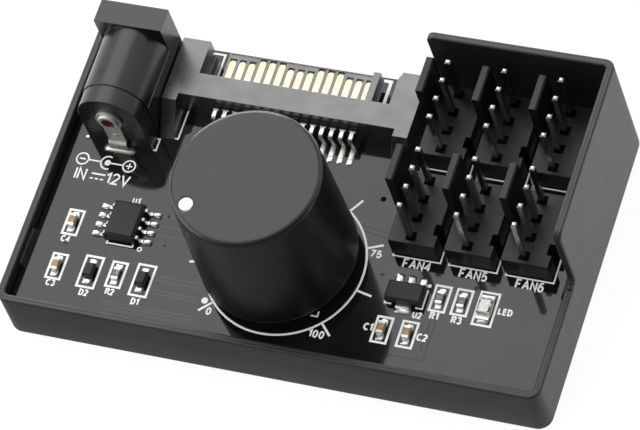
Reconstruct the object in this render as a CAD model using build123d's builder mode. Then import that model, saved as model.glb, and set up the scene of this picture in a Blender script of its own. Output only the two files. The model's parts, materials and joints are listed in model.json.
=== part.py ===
"""PC fan controller hub: a tray with a board, a speed dial, a power jack and six fan headers.

Millimetres, +Z up. The origin is the centre of the tray's underside; +X runs along the long side,
towards the fan headers, and +Y towards the connectors at the back. The connectors and the dial set
the size of the board, and the board sets the size of the tray.
"""

from build123d import *

import os
from math import cos, hypot, radians, sin, tan

os.makedirs("parts", exist_ok=True)

# Layout of the board, from its edges inwards
board_left_margin = 2.18
board_right_margin = 2.24
board_front_margin = 1.7
board_back_margin = 0.78
connector_gap = 0.15
header_gap = 1.58
dial_gap = 4.09
dial_header_gap = 3.0
jack_setback = 0.45
header_setback = 0.35

# Board
board_height = 6.2
board_thickness = 1.6
board_clearance = 0.15
board_corner = 0.8
hole_clearance = 0.15

# Tray
wall = 1.0
draft = 1.6
tray_corner = 1.8
tray_base_round = 0.9
floor_thickness = 1.2
rim_rise = 1.85
rim_round = 0.25
guard_rise = 12.0
guard_side_gap = 0.55
guard_end_gap = 0.36
guard_foot_round = 1.2
guard_end_round = 0.95
connector_cut_gap = 0.85
support_side = 3.4
snap_reach = 0.75
snap_rise = 1.0
snap_taper = 22
left_snap_length = 5.7
left_snap_offset = -4.3
right_snap_length = 4.2
right_snap_offset = 0.35

# Fan headers: two rows of three
header_columns = 3
header_rows = 2
header_width = 5.79
header_length = 9.7
header_side_gap = 1.24
header_row_gap = 2.49
header_base = 3.2
header_pin_inset = 2.66
tab_thickness = 0.95
tab_length = 4.8
tab_offset = 1.55
tab_height = 10.8
tab_lead_in = 0.2
key_notch_depth = 0.6
key_notch_length = 1.5
key_notch_offset = -2.5
pin_count = 4
pin_pitch = 2.54
pin_size = 0.64
pin_height = 10.75
pin_tail = 1.6
pin_point = 0.16
pin_well = 1.2
pin_well_depth = 0.3

# Dial: a turning knob on a potentiometer
knob_base_radius = 9.7
knob_top_radius = 9.12
knob_gap = 2.6
knob_height = 17.6
knob_edge_round = 0.6
knob_foot_round = 0.25
knob_roof = 2.5
knob_pot_clearance = 0.65
knob_boss_wall = 1.7
knob_boss_gap = 0.4
marker_radius = 0.86
marker_edge_gap = 1.62
marker_angle = -140.4
marker_depth = 0.3
pot_side = 11.0
pot_corner = 0.9
pot_height = 5.6
pot_bowl_wall = 0.8
pot_bowl_floor = 1.0
pot_fit = 0.1
track_thickness = 0.5
track_width = 2.4
wiper_gap = 0.12
wiper_thickness = 1.5
wiper_finger = 0.35
wiper_finger_radius = 0.4
shaft_radius = 3.0
shaft_shoulder = 1.0
shaft_flat = 1.5
shaft_grip = 6.1
shaft_running_clearance = 0.05
cover_thickness = 1.0
bush_wall = 0.55
bush_height = 2.9
pot_blade_width = 0.9
pot_blade_thickness = 0.3
pot_blade_pitch = 2.5
pot_blade_count = 3
pot_blade_rise = 3.0

# Power jack: opening at the back, terminal strip at the front end
jack_width = 8.8
jack_length = 13.8
flange_over = 0.3
flange_depth = 3.15
jack_axis = 6.3
barrel_offset = 0.2
barrel_wall = 1.05
barrel_step = 0.15
barrel_step_length = 2.4
socket_radius = 3.15
socket_depth = 9.6
centre_pin_radius = 1.0
centre_pin_stem = 1.05
centre_pin_recess = 0.6
centre_pin_round = 0.5
rivet_radius = 1.35
rivet_height = 0.35
rivet_round = 0.2
eyelet_radius = 0.8
eyelet_depth = 1.8
strip_width = 2.35
strip_loop_radius = 1.7
strip_thickness = 0.3
strip_hole_play = 0.02
strip_bend_height = 1.9
strip_bend_radius = 0.35
strip_foot_out = 0.45
strip_foot_drop = 0.4
strip_tail = 1.6
spring_width = 1.8
spring_inset = 1.15
spring_length = 5.0
spring_rise = 0.55
switch_inset = 0.28
switch_setback = 5.45
switch_width = 2.0

# SATA power header
sata_width = 31.86
sata_height = 3.9
leg_slope = 3.4
leg_width = 1.9
leg_length = 1.0
sata_bar = 3.2
left_ear_width = 3.6
left_ear_length = 4.6
right_ear_width = 3.56
right_ear_lead_width = 0.44
right_ear_lead_length = 1.1
ear_undercut = 0.8
tongue_top = 2.4
tongue_thickness = 1.2
tongue_setback = 0.35
tongue_left_margin = 0.76
tongue_right_margin = 0.56
key_width = 0.85
key_rise = 1.1
guide_width = 0.57
guide_height = 1.9
contact_count = 15
contact_group_count = 3
contact_pitch = 1.27
contact_offset = -0.38
contact_width = 0.84
contact_thickness = 0.2
contact_short_setback = 1.0
contact_long_setback = 0.45
contact_tip_round = 0.35
contact_shoulder = 0.6
contact_tail_width = 0.5
contact_exit = 1.65
contact_heel = 0.3
contact_foot = 1.5
contact_bend_radius = 0.25
groove_spare = 0.3
peg_radius = 0.6
peg_length = 1.2

# Small parts left of the dial, as (x, y) from the board's left edge and the dial's axis
driver_offset = (11.08, 1.27)
left_capacitor_offsets = ((4.29, -5.85), (4.27, 0.35))
left_resistor_offset = (12.09, -5.54)
diode_offsets = ((15.53, -5.69), (8.7, -5.81))

# Small parts in front of the fan headers, as (x, y) from the first header's front left corner
regulator_offset = (3.41, -5.31)
right_capacitor_offsets = ((1.8, -10.13), (4.98, -10.15))
right_resistor_offsets = ((7.46, -4.82), (10.16, -4.8))
led_offset = (13.21, -5.1)

# Sizes of the small parts
driver_width = 3.9
driver_length = 4.9
driver_height = 1.6
driver_standoff = 0.15
driver_edge = 0.3
driver_lead_reach = 1.05
driver_pitch = 1.27
driver_lead_count = 4
lead_width = 0.42
lead_thickness = 0.2
lead_foot = 0.6
lead_exit = 0.8
lead_bend_radius = 0.12
regulator_width = 4.5
regulator_length = 2.5
regulator_height = 1.5
regulator_edge = 0.2
regulator_lead_pitch = 1.5
regulator_lead_width = 0.46
regulator_lead_reach = 0.9
regulator_tab_width = 1.7
regulator_tab_reach = 0.55
regulator_metal = 0.4
capacitor_length = 1.6
capacitor_width = 0.85
capacitor_height = 0.85
resistor_length = 1.6
resistor_width = 0.85
resistor_height = 0.5
chip_end = 0.34
chip_end_proud = 0.03
diode_length = 1.75
diode_width = 1.25
diode_height = 0.95
diode_edge = 0.15
diode_lead_reach = 0.42
diode_lead_width = 0.35
diode_lead_thickness = 0.15
led_length = 3.2
led_width = 1.6
led_base_height = 0.5
led_lens_setback = 0.6
led_lens_height = 0.6
led_lens_edge = 0.12

# Board and tray, from what they carry
header_pitch_x = header_width + header_side_gap
header_pitch_y = header_length + header_row_gap
header_span = (header_columns - 1) * header_pitch_x + header_width
sata_depth = leg_slope + leg_length + sata_bar + left_ear_length
board_length = (
    board_left_margin + jack_width + connector_gap + sata_width + header_gap + header_span + board_right_margin
)
board_depth = board_front_margin + 2 * knob_base_radius + dial_gap + sata_depth + board_back_margin
board_left = -board_length / 2
board_top = board_height
board_bottom = board_top - board_thickness
lean = tan(radians(draft))
tray_length = board_length + 2 * (board_clearance + wall + board_top * lean)
tray_depth = board_depth + 2 * (board_clearance + wall + board_top * lean)
rim_height = board_top + rim_rise
guard_height = board_top + guard_rise

# Places of the connectors
jack_x = board_left + board_left_margin + jack_width / 2
sata_left = jack_x + jack_width / 2 + connector_gap
sata_right = sata_left + sata_width
sata_back = board_depth / 2 - board_back_margin
leg_toe = sata_back - sata_depth
sata_front = leg_toe + leg_slope
sata_bar_front = sata_front + leg_length
sata_bar_back = sata_bar_front + sata_bar
left_ear_inner = sata_left + left_ear_width
right_ear_inner = sata_right - right_ear_width
header_left = sata_right + header_gap
header_first_x = header_left + header_pin_inset
header_first_y = sata_back - header_setback - header_length / 2
header_front = header_first_y - (header_rows - 1) * header_pitch_y - header_length / 2
header_spots = [
    (header_first_x + column * header_pitch_x, header_first_y - row * header_pitch_y)
    for row in range(header_rows)
    for column in range(header_columns)
]
header_centre = header_width / 2 - header_pin_inset
pin_offsets = [(pin_count / 2 - 0.5 - index) * pin_pitch for index in range(pin_count)]
pin_hole_radius = pin_size * 2**0.5 / 2 + hole_clearance / 2
guard_left = header_left - guard_side_gap
guard_front = header_front - guard_end_gap

# SATA contacts: every second group of three is long
contact_centre_x = (sata_left + sata_right) / 2 + contact_offset
contact_xs = [contact_centre_x + (index - (contact_count - 1) / 2) * contact_pitch for index in range(contact_count)]
long_xs = [x for index, x in enumerate(contact_xs) if index // contact_group_count % 2 == 1]
short_xs = [x for index, x in enumerate(contact_xs) if index // contact_group_count % 2 == 0]
tongue_left = contact_xs[0] - tongue_left_margin
tongue_right = contact_xs[-1] + tongue_right_margin
tongue_back = sata_back - tongue_setback
contact_short_end = tongue_back - contact_short_setback
contact_long_end = tongue_back - contact_long_setback
contact_bend = sata_bar_front - contact_exit
contact_tail_start = sata_bar_front - contact_shoulder
contact_tail_end = contact_bend - contact_foot
peg_spots = [
    ((sata_left + left_ear_inner) / 2, (sata_bar_front + sata_bar_back) / 2),
    ((sata_right + right_ear_inner) / 2, (sata_bar_front + sata_bar_back) / 2),
]

# Dial and potentiometer, from the board upwards
dial_x = header_left - dial_header_gap - knob_base_radius
dial_y = -board_depth / 2 + board_front_margin + knob_base_radius
pot_bowl_radius = pot_side / 2 - pot_bowl_wall
knob_hollow_radius = hypot(pot_side / 2, pot_side / 2 - pot_corner) + knob_pot_clearance
knob_bottom = board_top + knob_gap
knob_top = knob_bottom + knob_height
roof_bottom = knob_top - knob_roof
track_top = board_top + pot_bowl_floor + track_thickness
wiper_bottom = track_top + wiper_gap + wiper_finger
wiper_top = wiper_bottom + wiper_thickness
cover_bottom = board_top + pot_height
bush_top = cover_bottom + cover_thickness + bush_height
boss_bottom = bush_top + knob_boss_gap
shaft_top = boss_bottom + shaft_grip
shaft_foot_radius = shaft_radius - shaft_shoulder
marker_reach = knob_top_radius - marker_edge_gap
marker_x = dial_x + marker_reach * cos(radians(marker_angle))
marker_y = dial_y + marker_reach * sin(radians(marker_angle))
pot_blade_spots = [
    (
        dial_x + (index - (pot_blade_count - 1) / 2) * pot_blade_pitch,
        dial_y - pot_side / 2 - pot_blade_thickness / 2,
    )
    for index in range(pot_blade_count)
]

# Jack, from its mouth inwards
jack_face = sata_back - jack_setback
jack_rear = jack_face - jack_length
barrel_radius = socket_radius + barrel_wall
barrel_x = jack_x + barrel_offset
jack_height = jack_axis + barrel_radius + flange_over
jack_strip_y = jack_rear - strip_foot_out - strip_thickness / 2
spring_front = jack_face - socket_depth + spring_inset
switch_x = barrel_x - barrel_radius + switch_inset + strip_thickness
switch_y = jack_face - switch_setback

# Places of the small parts
driver_spot = (board_left + driver_offset[0], dial_y + driver_offset[1])
regulator_spot = (header_left + regulator_offset[0], header_front + regulator_offset[1])
led_spot = (header_left + led_offset[0], header_front + led_offset[1])
capacitor_spots = [(header_left + x, header_front + y) for x, y in right_capacitor_offsets]
capacitor_spots += [(board_left + x, dial_y + y) for x, y in left_capacitor_offsets]
resistor_spots = [(header_left + x, header_front + y) for x, y in right_resistor_offsets]
resistor_spots.insert(1, (board_left + left_resistor_offset[0], dial_y + left_resistor_offset[1]))
diode_spots = [(board_left + x, dial_y + y) for x, y in diode_offsets]
low = (Align.CENTER, Align.CENTER, Align.MIN)


def cavity_side(outer, height):
    """Clear width between two leaning tray walls at a height."""
    return outer - 2 * (wall + height * lean)


def bent_strip(plane, points, radius, thickness):
    """Section of a flat metal strip bent along a line, its thickness to the left of the line."""
    with BuildSketch(plane) as strip:
        with BuildLine():
            FilletPolyline(*points, radius=radius)
            offset(amount=thickness, side=Side.LEFT)
        make_face()
    return strip.sketch


# Base tray: leaning walls, a low rim and a tall guard round the fan headers
connector_cut_left = jack_x - jack_width / 2 - connector_cut_gap
with BuildPart() as base_tray:
    with BuildSketch():
        RectangleRounded(tray_length, tray_depth, tray_corner)
    extrude(amount=guard_height, taper=draft)
    fillet(base_tray.faces().sort_by(Axis.Z)[0].edges(), tray_base_round)
    with BuildSketch(Plane.XY.offset(floor_thickness)):
        RectangleRounded(
            cavity_side(tray_length, floor_thickness), cavity_side(tray_depth, floor_thickness), tray_corner - wall
        )
    extrude(amount=guard_height - floor_thickness, taper=draft, mode=Mode.SUBTRACT)
    with BuildSketch(Plane.YZ):
        with Locations((guard_front, rim_height)):
            Rectangle(tray_depth, guard_height, align=(Align.MAX, Align.MIN))
        fillet(vertices().group_by(Axis.X)[-1].sort_by(Axis.Y)[0], guard_foot_round)
    extrude(amount=tray_length, both=True, mode=Mode.SUBTRACT)
    with BuildSketch(Plane.XY.offset(rim_height)):
        with Locations((guard_left, 0)):
            Rectangle(tray_length, 2 * tray_depth, align=(Align.MAX, Align.CENTER))
    extrude(amount=guard_height, mode=Mode.SUBTRACT)
    with BuildSketch(Plane.XY.offset(board_bottom)):
        with Locations((connector_cut_left, tray_depth / 2)):
            Rectangle(guard_left - connector_cut_left, 2 * (wall + board_top * lean), align=(Align.MIN, Align.MAX))
    extrude(amount=guard_height, mode=Mode.SUBTRACT)
    fillet(base_tray.edges().filter_by(Axis.X).group_by(Axis.Z)[-1].sort_by(Axis.Y)[0], guard_end_round)
    fillet(base_tray.edges().filter_by(Axis.Y).group_by(Axis.Z)[-1].sort_by(Axis.X)[0], guard_end_round)
    rims = base_tray.edges().filter_by(lambda edge: edge.center().Z > rim_height - rim_round)
    rims = rims.filter_by(lambda edge: edge.bounding_box().min.Z > board_bottom - rim_round)
    fillet(rims.filter_by(lambda edge: abs(edge.length - wall) > rim_round / 10), rim_round)
    with BuildSketch(Plane.XY.offset(floor_thickness)):
        with GridLocations(board_length - support_side, board_depth - support_side, 2, 2):
            Rectangle(support_side, support_side)
    extrude(amount=board_bottom - floor_thickness)
    snap_wall = cavity_side(tray_length, board_top) / 2
    for side, snap_y, snap_length in (
        (-1, dial_y + left_snap_offset, left_snap_length),
        (1, guard_front + right_snap_offset, right_snap_length),
    ):
        with BuildSketch(Plane.XY.offset(board_top)):
            with Locations((side * (snap_wall + (wall / 2 - snap_reach) / 2), snap_y)):
                Rectangle(wall / 2 + snap_reach, snap_length)
        extrude(amount=snap_rise, taper=snap_taper)
base_tray.part.label = "base_tray"
export_step(base_tray.part, "parts/base_tray.step")

# Circuit board with the holes of the through-hole pieces
with BuildPart() as circuit_board:
    with BuildSketch(Plane.XY.offset(board_bottom)):
        RectangleRounded(board_length, board_depth, board_corner)
        with Locations(*[(x, y + step) for x, y in header_spots for step in pin_offsets]):
            Circle(pin_hole_radius, mode=Mode.SUBTRACT)
        with Locations(*pot_blade_spots):
            SlotOverall(
                pot_blade_width + 2 * hole_clearance, pot_blade_thickness + 2 * hole_clearance, mode=Mode.SUBTRACT
            )
        with Locations((barrel_x, jack_strip_y)):
            SlotOverall(strip_width + 2 * hole_clearance, strip_thickness + 2 * hole_clearance, mode=Mode.SUBTRACT)
        with Locations((barrel_x, spring_front + strip_thickness / 2)):
            SlotOverall(spring_width + 2 * hole_clearance, strip_thickness + 2 * hole_clearance, mode=Mode.SUBTRACT)
        with Locations((switch_x, switch_y)):
            SlotOverall(
                switch_width + 2 * hole_clearance,
                strip_thickness + 2 * hole_clearance,
                rotation=90,
                mode=Mode.SUBTRACT,
            )
        with Locations(*peg_spots):
            Circle(peg_radius + hole_clearance / 2, mode=Mode.SUBTRACT)
    extrude(amount=board_thickness)
circuit_board.part.label = "circuit_board"
export_step(circuit_board.part, "parts/circuit_board.step")

# Fan headers: a low base with a locking tab on its left, and four square pins
for number, (x, y) in enumerate(header_spots, start=1):
    with BuildPart() as fan_header:
        with BuildSketch(Plane.XY.offset(board_top)):
            with Locations((x + header_centre, y)):
                Rectangle(header_width, header_length)
            with Locations((x + header_centre + header_width / 2, y + key_notch_offset)):
                Rectangle(2 * key_notch_depth, key_notch_length, mode=Mode.SUBTRACT)
        extrude(amount=header_base)
        with BuildSketch(Plane.XY.offset(board_top + header_base)):
            with Locations((x - header_pin_inset, y + tab_offset)):
                Rectangle(tab_thickness, tab_length, align=(Align.MIN, Align.CENTER))
        extrude(amount=tab_height - header_base)
        chamfer(fan_header.edges().group_by(Axis.Z)[-1].sort_by(Axis.X)[-1], tab_lead_in)
        with BuildSketch(Plane.XY.offset(board_top + header_base - pin_well_depth)):
            with Locations(*[(x, y + step) for step in pin_offsets]):
                Rectangle(pin_well, pin_well)
        extrude(amount=pin_well_depth, mode=Mode.SUBTRACT)
        with BuildSketch(Plane.XY.offset(board_top)):
            with Locations(*[(x, y + step) for step in pin_offsets]):
                Rectangle(pin_size, pin_size)
        extrude(amount=header_base, mode=Mode.SUBTRACT)
    fan_header.part.label = f"fan_header_{number}"
    export_step(fan_header.part, f"parts/fan_header_{number}.step")

    with BuildPart() as fan_pins:
        with Locations(*[(x, y + step, board_bottom - pin_tail) for step in pin_offsets]):
            Box(pin_size, pin_size, pin_tail + board_thickness + pin_height, align=low)
        chamfer(fan_pins.edges().group_by(Axis.Z)[-1], pin_point)
        chamfer(fan_pins.edges().group_by(Axis.Z)[0], pin_point)
    fan_pins.part.label = f"fan_pins_{number}"
    export_step(fan_pins.part, f"parts/fan_pins_{number}.step")

# Dial knob: a tapered cap with a central boss that grips the shaft
with BuildPart() as dial_knob:
    with BuildSketch(Plane(origin=(dial_x, dial_y, knob_bottom), x_dir=(1, 0, 0), z_dir=(0, -1, 0))):
        with BuildLine():
            Polyline(
                (0, 0),
                (knob_base_radius, 0),
                (knob_top_radius, knob_height),
                (0, knob_height),
                close=True,
            )
        make_face()
    revolve(axis=Axis((dial_x, dial_y, 0), (0, 0, 1)))
    fillet(dial_knob.edges().group_by(Axis.Z)[-1], knob_edge_round)
    fillet(dial_knob.edges().group_by(Axis.Z)[0], knob_foot_round)
    with BuildSketch(Plane.XY.offset(knob_bottom)):
        with Locations((dial_x, dial_y)):
            Circle(knob_hollow_radius)
    extrude(amount=roof_bottom - knob_bottom, mode=Mode.SUBTRACT)
    with BuildSketch(Plane.XY.offset(boss_bottom)):
        with Locations((dial_x, dial_y)):
            Circle(shaft_radius + knob_boss_wall)
    extrude(amount=roof_bottom - boss_bottom)
    with BuildSketch(Plane.XY.offset(boss_bottom)):
        with Locations((dial_x, dial_y)):
            Circle(shaft_radius)
        with Locations((dial_x, dial_y + shaft_flat)):
            Rectangle(2 * shaft_radius, 2 * shaft_radius, align=(Align.CENTER, Align.MIN), mode=Mode.SUBTRACT)
    extrude(amount=shaft_grip, mode=Mode.SUBTRACT)
    with Locations((marker_x, marker_y, knob_top - marker_depth)):
        Cylinder(marker_radius, marker_depth, align=low, mode=Mode.SUBTRACT)
dial_knob.part.label = "dial_knob"
export_step(dial_knob.part, "parts/dial_knob.step")

# White pointer dot in the knob's top
with BuildPart() as knob_marker:
    with Locations((marker_x, marker_y, knob_top - marker_depth)):
        Cylinder(marker_radius, marker_depth, align=low)
knob_marker.part.label = "knob_marker"
export_step(knob_marker.part, "parts/knob_marker.step")

# Potentiometer housing: a square block with a round bowl
with BuildPart() as pot_housing:
    with BuildSketch(Plane.XY.offset(board_top)):
        with Locations((dial_x, dial_y)):
            Rectangle(pot_side, pot_side)
        chamfer(vertices(), pot_corner)
    extrude(amount=pot_height)
    with Locations((dial_x, dial_y, board_top + pot_bowl_floor)):
        Cylinder(pot_bowl_radius, pot_height - pot_bowl_floor, align=low, mode=Mode.SUBTRACT)
pot_housing.part.label = "pot_housing"
export_step(pot_housing.part, "parts/pot_housing.step")

# Resistive track on the floor of the bowl
with BuildPart() as pot_track:
    with BuildSketch(Plane.XY.offset(board_top + pot_bowl_floor)):
        with Locations((dial_x, dial_y)):
            Circle(pot_bowl_radius - pot_fit)
            Circle(pot_bowl_radius - pot_fit - track_width, mode=Mode.SUBTRACT)
    extrude(amount=track_thickness)
pot_track.part.label = "pot_track"
export_step(pot_track.part, "parts/pot_track.step")

# Wiper: a disc on the shaft's foot with a finger over the track
with BuildPart() as pot_wiper:
    with BuildSketch(Plane.XY.offset(wiper_bottom)):
        with Locations((dial_x, dial_y)):
            Circle(pot_bowl_radius - 3 * pot_fit)
            Circle(shaft_foot_radius, mode=Mode.SUBTRACT)
    extrude(amount=wiper_thickness)
    with Locations((dial_x + pot_bowl_radius - pot_fit - track_width / 2, dial_y, wiper_bottom)):
        Cylinder(wiper_finger_radius, wiper_finger, align=(Align.CENTER, Align.CENTER, Align.MAX))
pot_wiper.part.label = "pot_wiper"
export_step(pot_wiper.part, "parts/pot_wiper.step")

# Shaft: a stepped round bar with a flat for the knob
with BuildPart() as pot_shaft:
    with Locations((dial_x, dial_y, wiper_bottom)):
        Cylinder(shaft_foot_radius, wiper_thickness, align=low)
    with Locations((dial_x, dial_y, wiper_top)):
        Cylinder(shaft_radius, shaft_top - wiper_top, align=low)
    with BuildSketch(Plane.XY.offset(boss_bottom)):
        with Locations((dial_x, dial_y + shaft_flat)):
            Rectangle(2 * shaft_radius, 2 * shaft_radius, align=(Align.CENTER, Align.MIN))
    extrude(amount=shaft_grip, mode=Mode.SUBTRACT)
pot_shaft.part.label = "pot_shaft"
export_step(pot_shaft.part, "parts/pot_shaft.step")

# Metal cover with the bush that the shaft turns in
with BuildPart() as pot_cover:
    with BuildSketch(Plane.XY.offset(cover_bottom)):
        with Locations((dial_x, dial_y)):
            Rectangle(pot_side, pot_side)
        chamfer(vertices(), pot_corner)
    extrude(amount=cover_thickness)
    with Locations((dial_x, dial_y, cover_bottom + cover_thickness)):
        Cylinder(shaft_radius + shaft_running_clearance + bush_wall, bush_height, align=low)
    with Locations((dial_x, dial_y, cover_bottom)):
        Cylinder(
            shaft_radius + shaft_running_clearance, cover_thickness + bush_height, align=low, mode=Mode.SUBTRACT
        )
pot_cover.part.label = "pot_cover"
export_step(pot_cover.part, "parts/pot_cover.step")

# Potentiometer blades on the front of the housing, down through the board
with BuildPart() as pot_terminals:
    with Locations(*[(x, y, board_bottom - pin_tail) for x, y in pot_blade_spots]):
        Box(pot_blade_width, pot_blade_thickness, pin_tail + board_thickness + pot_blade_rise, align=low)
pot_terminals.part.label = "pot_terminals"
export_step(pot_terminals.part, "parts/pot_terminals.step")

# Power jack housing: a square flange, a round-topped barrel and a deep socket
jack_mouth = Plane(origin=(barrel_x, jack_face, board_top), x_dir=(1, 0, 0), z_dir=(0, -1, 0))
with BuildPart() as jack_housing:
    with BuildSketch(jack_mouth):
        with Locations((-barrel_offset, 0)):
            Rectangle(jack_width, jack_height, align=(Align.CENTER, Align.MIN))
    extrude(amount=flange_depth)
    for radius, length in (
        (barrel_radius, jack_length - barrel_step_length),
        (barrel_radius - barrel_step, jack_length),
    ):
        with BuildSketch(jack_mouth):
            Rectangle(2 * radius, jack_axis, align=(Align.CENTER, Align.MIN))
            with Locations((0, jack_axis)):
                Circle(radius)
        extrude(amount=length)
    with BuildSketch(jack_mouth):
        with Locations((0, jack_axis)):
            Circle(socket_radius)
    extrude(amount=socket_depth, mode=Mode.SUBTRACT)
    with BuildSketch(jack_mouth):
        with Locations((0, jack_axis)):
            Circle(centre_pin_stem)
    extrude(amount=jack_length, mode=Mode.SUBTRACT)
    with Locations((barrel_x, spring_front, board_top)):
        Box(spring_width, spring_length, jack_axis, align=(Align.CENTER, Align.MIN, Align.MIN), mode=Mode.SUBTRACT)
    with Locations((switch_x, switch_y, board_top)):
        Box(strip_thickness, switch_width, jack_axis, align=low, mode=Mode.SUBTRACT)
jack_housing.part.label = "jack_housing"
export_step(jack_housing.part, "parts/jack_housing.step")

# Centre pin: a turned pin whose stem is rolled over at the rear as a hollow eyelet
with BuildPart() as jack_centre_pin:
    with BuildSketch(jack_mouth.offset(centre_pin_recess)):
        with Locations((0, jack_axis)):
            Circle(centre_pin_radius)
    extrude(amount=socket_depth - centre_pin_recess)
    fillet(jack_centre_pin.edges().group_by(Axis.Y)[-1], centre_pin_round)
    with BuildSketch(jack_mouth.offset(socket_depth)):
        with Locations((0, jack_axis)):
            Circle(centre_pin_stem)
    extrude(amount=jack_length - socket_depth + strip_thickness)
    with BuildSketch(jack_mouth.offset(jack_length + strip_thickness)):
        with Locations((0, jack_axis)):
            Circle(rivet_radius)
    extrude(amount=rivet_height)
    fillet(jack_centre_pin.edges().group_by(Axis.Y)[0], rivet_round)
    with BuildSketch(jack_mouth.offset(jack_length + strip_thickness + rivet_height)):
        with Locations((0, jack_axis)):
            Circle(eyelet_radius)
    extrude(amount=-eyelet_depth, mode=Mode.SUBTRACT)
jack_centre_pin.part.label = "jack_centre_pin"
export_step(jack_centre_pin.part, "parts/jack_centre_pin.step")

# Terminal strip of the centre pin: a loop round the eyelet, a joggle outwards and a tail through the board
strip_face = jack_rear - strip_thickness
with BuildPart() as jack_pin_terminal:
    strip_section = bent_strip(
        Plane.YZ.offset(barrel_x),
        [
            (strip_face, board_top + jack_axis),
            (strip_face, board_top + strip_bend_height),
            (strip_face - strip_foot_out, board_top + strip_bend_height - strip_foot_drop),
            (strip_face - strip_foot_out, board_bottom - strip_tail),
        ],
        strip_bend_radius,
        strip_thickness,
    )
    extrude(strip_section, amount=strip_width / 2, both=True)
    with BuildSketch(jack_mouth.offset(jack_length)):
        with Locations((0, jack_axis)):
            Circle(strip_loop_radius)
    extrude(amount=strip_thickness)
    with BuildSketch(jack_mouth.offset(jack_length)):
        with Locations((0, jack_axis)):
            Circle(centre_pin_stem + strip_hole_play)
    extrude(amount=strip_thickness, mode=Mode.SUBTRACT)
jack_pin_terminal.part.label = "jack_pin_terminal"
export_step(jack_pin_terminal.part, "parts/jack_pin_terminal.step")

# Sleeve spring: a leaf that rises into the socket from a slot in its floor
socket_floor = board_top + jack_axis - socket_radius
with BuildPart() as jack_sleeve_spring:
    spring_section = bent_strip(
        Plane.YZ.offset(barrel_x),
        [
            (spring_front + spring_length, socket_floor + spring_rise),
            (spring_front, socket_floor),
            (spring_front, board_bottom - strip_tail),
        ],
        strip_thickness,
        strip_thickness,
    )
    extrude(spring_section, amount=spring_width / 2, both=True)
jack_sleeve_spring.part.label = "jack_sleeve_spring"
export_step(jack_sleeve_spring.part, "parts/jack_sleeve_spring.step")

# Switch contact: a flat blade in the side wall of the socket
with BuildPart() as jack_switch_contact:
    with Locations((switch_x, switch_y, board_bottom - strip_tail)):
        Box(strip_thickness, switch_width, strip_tail + board_thickness + jack_axis, align=low)
jack_switch_contact.part.label = "jack_switch_contact"
export_step(jack_switch_contact.part, "parts/jack_switch_contact.step")

# SATA power header housing: a bar with two ears, sloped legs, a tongue and a key
with BuildPart() as sata_housing:
    with BuildSketch(Plane.XY.offset(board_top)):
        with Locations((sata_left, sata_bar_front)):
            Rectangle(sata_right - sata_left, sata_bar_back - sata_bar_front, align=(Align.MIN, Align.MIN))
        with Locations((sata_left, sata_front)):
            Rectangle(leg_width, sata_bar_back - sata_front, align=(Align.MIN, Align.MIN))
        with Locations((sata_right, sata_front)):
            Rectangle(leg_width, sata_bar_back - sata_front, align=(Align.MAX, Align.MIN))
        with Locations((sata_left, sata_bar_back)):
            Rectangle(left_ear_inner - sata_left, sata_back - sata_bar_back, align=(Align.MIN, Align.MIN))
        with Locations((sata_right, sata_bar_back)):
            Rectangle(sata_right - right_ear_inner, sata_back - sata_bar_back, align=(Align.MAX, Align.MIN))
    extrude(amount=sata_height)
    for leg_x in (sata_left + leg_width / 2, sata_right - leg_width / 2):
        with BuildSketch(Plane.YZ.offset(leg_x)):
            with BuildLine():
                Polyline(
                    (sata_front, board_top),
                    (sata_front, board_top + sata_height),
                    (leg_toe, board_top),
                    close=True,
                )
            make_face()
        extrude(amount=leg_width / 2, both=True)
    with BuildSketch(Plane.XY.offset(board_top + tongue_top - tongue_thickness)):
        with Locations((tongue_left, sata_bar_back)):
            Rectangle(tongue_right - tongue_left, tongue_back - sata_bar_back, align=(Align.MIN, Align.MIN))
    extrude(amount=tongue_thickness)
    with BuildSketch(Plane.XY.offset(board_top + tongue_top - tongue_thickness)):
        with Locations((tongue_right, sata_bar_back)):
            Rectangle(key_width, tongue_back - sata_bar_back, align=(Align.MIN, Align.MIN))
    extrude(amount=tongue_thickness + key_rise)
    with BuildSketch(Plane.XY.offset(board_top)):
        with Locations((sata_left, sata_back)):
            Rectangle(left_ear_width, ear_undercut, align=(Align.MIN, Align.MAX))
        with Locations((sata_right, sata_back)):
            Rectangle(right_ear_width, ear_undercut, align=(Align.MAX, Align.MAX))
    extrude(amount=guide_height, mode=Mode.SUBTRACT)
    with BuildSketch(Plane.XY.offset(board_top)):
        with Locations((left_ear_inner, sata_bar_back)):
            Rectangle(guide_width, sata_back - ear_undercut - sata_bar_back, align=(Align.MIN, Align.MIN))
    extrude(amount=guide_height)
    with BuildSketch(Plane.XY.offset(board_top)):
        with BuildLine():
            Polyline(
                (right_ear_inner, sata_back - right_ear_lead_length),
                (right_ear_inner, sata_back),
                (right_ear_inner + right_ear_lead_width, sata_back),
                close=True,
            )
        make_face()
    extrude(amount=sata_height, mode=Mode.SUBTRACT)
    with BuildSketch(Plane.XY.offset(board_top + tongue_top - contact_thickness)):
        for xs, end in ((short_xs, contact_short_end), (long_xs, contact_long_end)):
            with Locations(*[(x, end + groove_spare) for x in xs]):
                Rectangle(contact_width, end + groove_spare - sata_bar_front, align=(Align.CENTER, Align.MAX))
    extrude(amount=contact_thickness, mode=Mode.SUBTRACT)
    with Locations(*[(x, y, board_top) for x, y in peg_spots]):
        Cylinder(peg_radius, peg_length, align=(Align.CENTER, Align.CENTER, Align.MAX))
sata_housing.part.label = "sata_housing"
export_step(sata_housing.part, "parts/sata_housing.step")

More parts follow.
